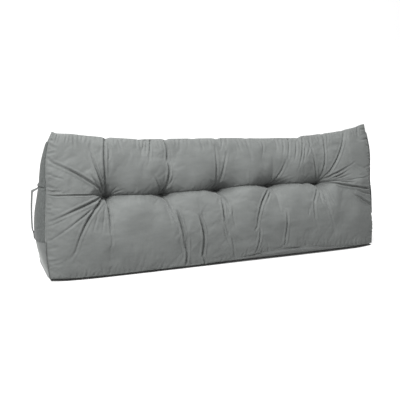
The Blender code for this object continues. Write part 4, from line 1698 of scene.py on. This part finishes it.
def pale_paper():
    """Seamless studio paper that glows by itself, with the glow left off where the cushion stands
    on it.
    """
    material, tree = new_material("pale_paper")
    place = node(tree, "TexCoord").outputs["Object"]
    parts = node(tree, "SeparateXYZ", {"Vector": place}).outputs
    middle = float(PLACE[1])
    off_middle = node(tree, "Math", {0: parts["X"]}, operation="ABSOLUTE").outputs[0]
    share = node(tree, "Math", {0: off_middle}, {1: WIDTH / 2}, operation="DIVIDE").outputs[0]
    bend = node(tree, "Math", {0: share}, {1: float(BOW_POWER)}, operation="POWER").outputs[0]
    bow = {1: BASE_BOW, 2: middle - BASE_BOW}
    front = node(tree, "Math", {0: bend}, bow, operation="MULTIPLY_ADD").outputs[0]
    behind = node(tree, "Math", {0: parts["Y"], 1: front}, operation="SUBTRACT").outputs[0]
    back = {0: BASE_DEPTH + middle}
    before = node(tree, "Math", {1: parts["Y"]}, back, operation="SUBTRACT").outputs[0]
    end = {0: WIDTH / 2 - END_DRAWN_IN}
    off_end = node(tree, "Math", {1: off_middle}, end, operation="SUBTRACT").outputs[0]
    within = node(tree, "Math", {0: behind, 1: before}, operation="MINIMUM").outputs[0]
    inside = node(tree, "Math", {0: within, 1: off_end}, operation="MINIMUM").outputs[0]
    fading = {"From Min": 0.0, "From Max": UNDER_SOFT, "To Min": PAPER_GLOW, "To Max": 0.0}
    glow = node(tree, "MapRange", {"Value": inside}, fading).outputs["Result"]
    look = {"Base Color": colour("#777777"), "Roughness": 0.9, "Emission Color": colour("#ffffff")}
    shader = node(tree, "BsdfPrincipled", {"Emission Strength": glow}, look)
    node(tree, "OutputMaterial", {"Surface": shader.outputs["BSDF"]})
    return material


def sweep():
    """A floor that bends up into a backdrop behind the cushion."""
    turns = np.linspace(0, np.pi / 2, SWEEP_STEPS)
    profile = [(-FLOOR_REACH, 0.0)]
    for turn in turns:
        rise = BACKDROP_RADIUS * (1 - np.cos(turn))
        profile.append((SWEEP_FROM + BACKDROP_RADIUS * np.sin(turn), rise))
    profile.append((SWEEP_FROM + BACKDROP_RADIUS, BACKDROP_HEIGHT))
    points = [(x, y, z) for y, z in profile for x in (-FLOOR_REACH, FLOOR_REACH)]
    faces = [(2 * i, 2 * i + 1, 2 * i + 3, 2 * i + 2) for i in range(len(profile) - 1)]
    return points, faces


sweep_points, sweep_faces = sweep()
floor = add_mesh("studio_floor", sweep_points, sweep_faces, pale_paper())
print(floor.name, len(sweep_faces), "faces")

# %% [markdown]
# A lamp the size of a window, high on the left, gives the folds their shadows. A large soft one
# above and a wide weak one in front keep those shadows open.

# %% Light
Lamp = namedtuple("Lamp", "name place size watts")
LAMPS = (
    Lamp("window_left", (-2.2, -1.4, 3.0), 1.0, 285.0),
    Lamp("top_soft", (-0.1, 0.4, 3.2), 2.0, 168.0),
    Lamp("fill_front", (-0.2, -3.2, 1.0), 2.4, 50.0),
)
AIM = Vector((0.0, 0.0, 0.24))
WORLD_STRENGTH = 0.20

world = bpy.data.worlds.new("studio")
world.use_nodes = True
sky = world.node_tree.nodes["Background"].inputs
sky["Color"].default_value = colour("#ffffff")
sky["Strength"].default_value = WORLD_STRENGTH
bpy.context.scene.world = world
for lamp in LAMPS:
    light = bpy.data.lights.new(lamp.name, "AREA")
    light.size = lamp.size
    light.energy = lamp.watts
    hung = in_scene(lamp.name, light)
    hung.location = lamp.place
    hung.rotation_euler = (AIM - Vector(lamp.place)).to_track_quat("-Z", "Y").to_euler()
bpy.context.scene.view_settings.view_transform = "Standard"
print(len(LAMPS), "lamps,", sum(lamp.watts for lamp in LAMPS), "watts in all")
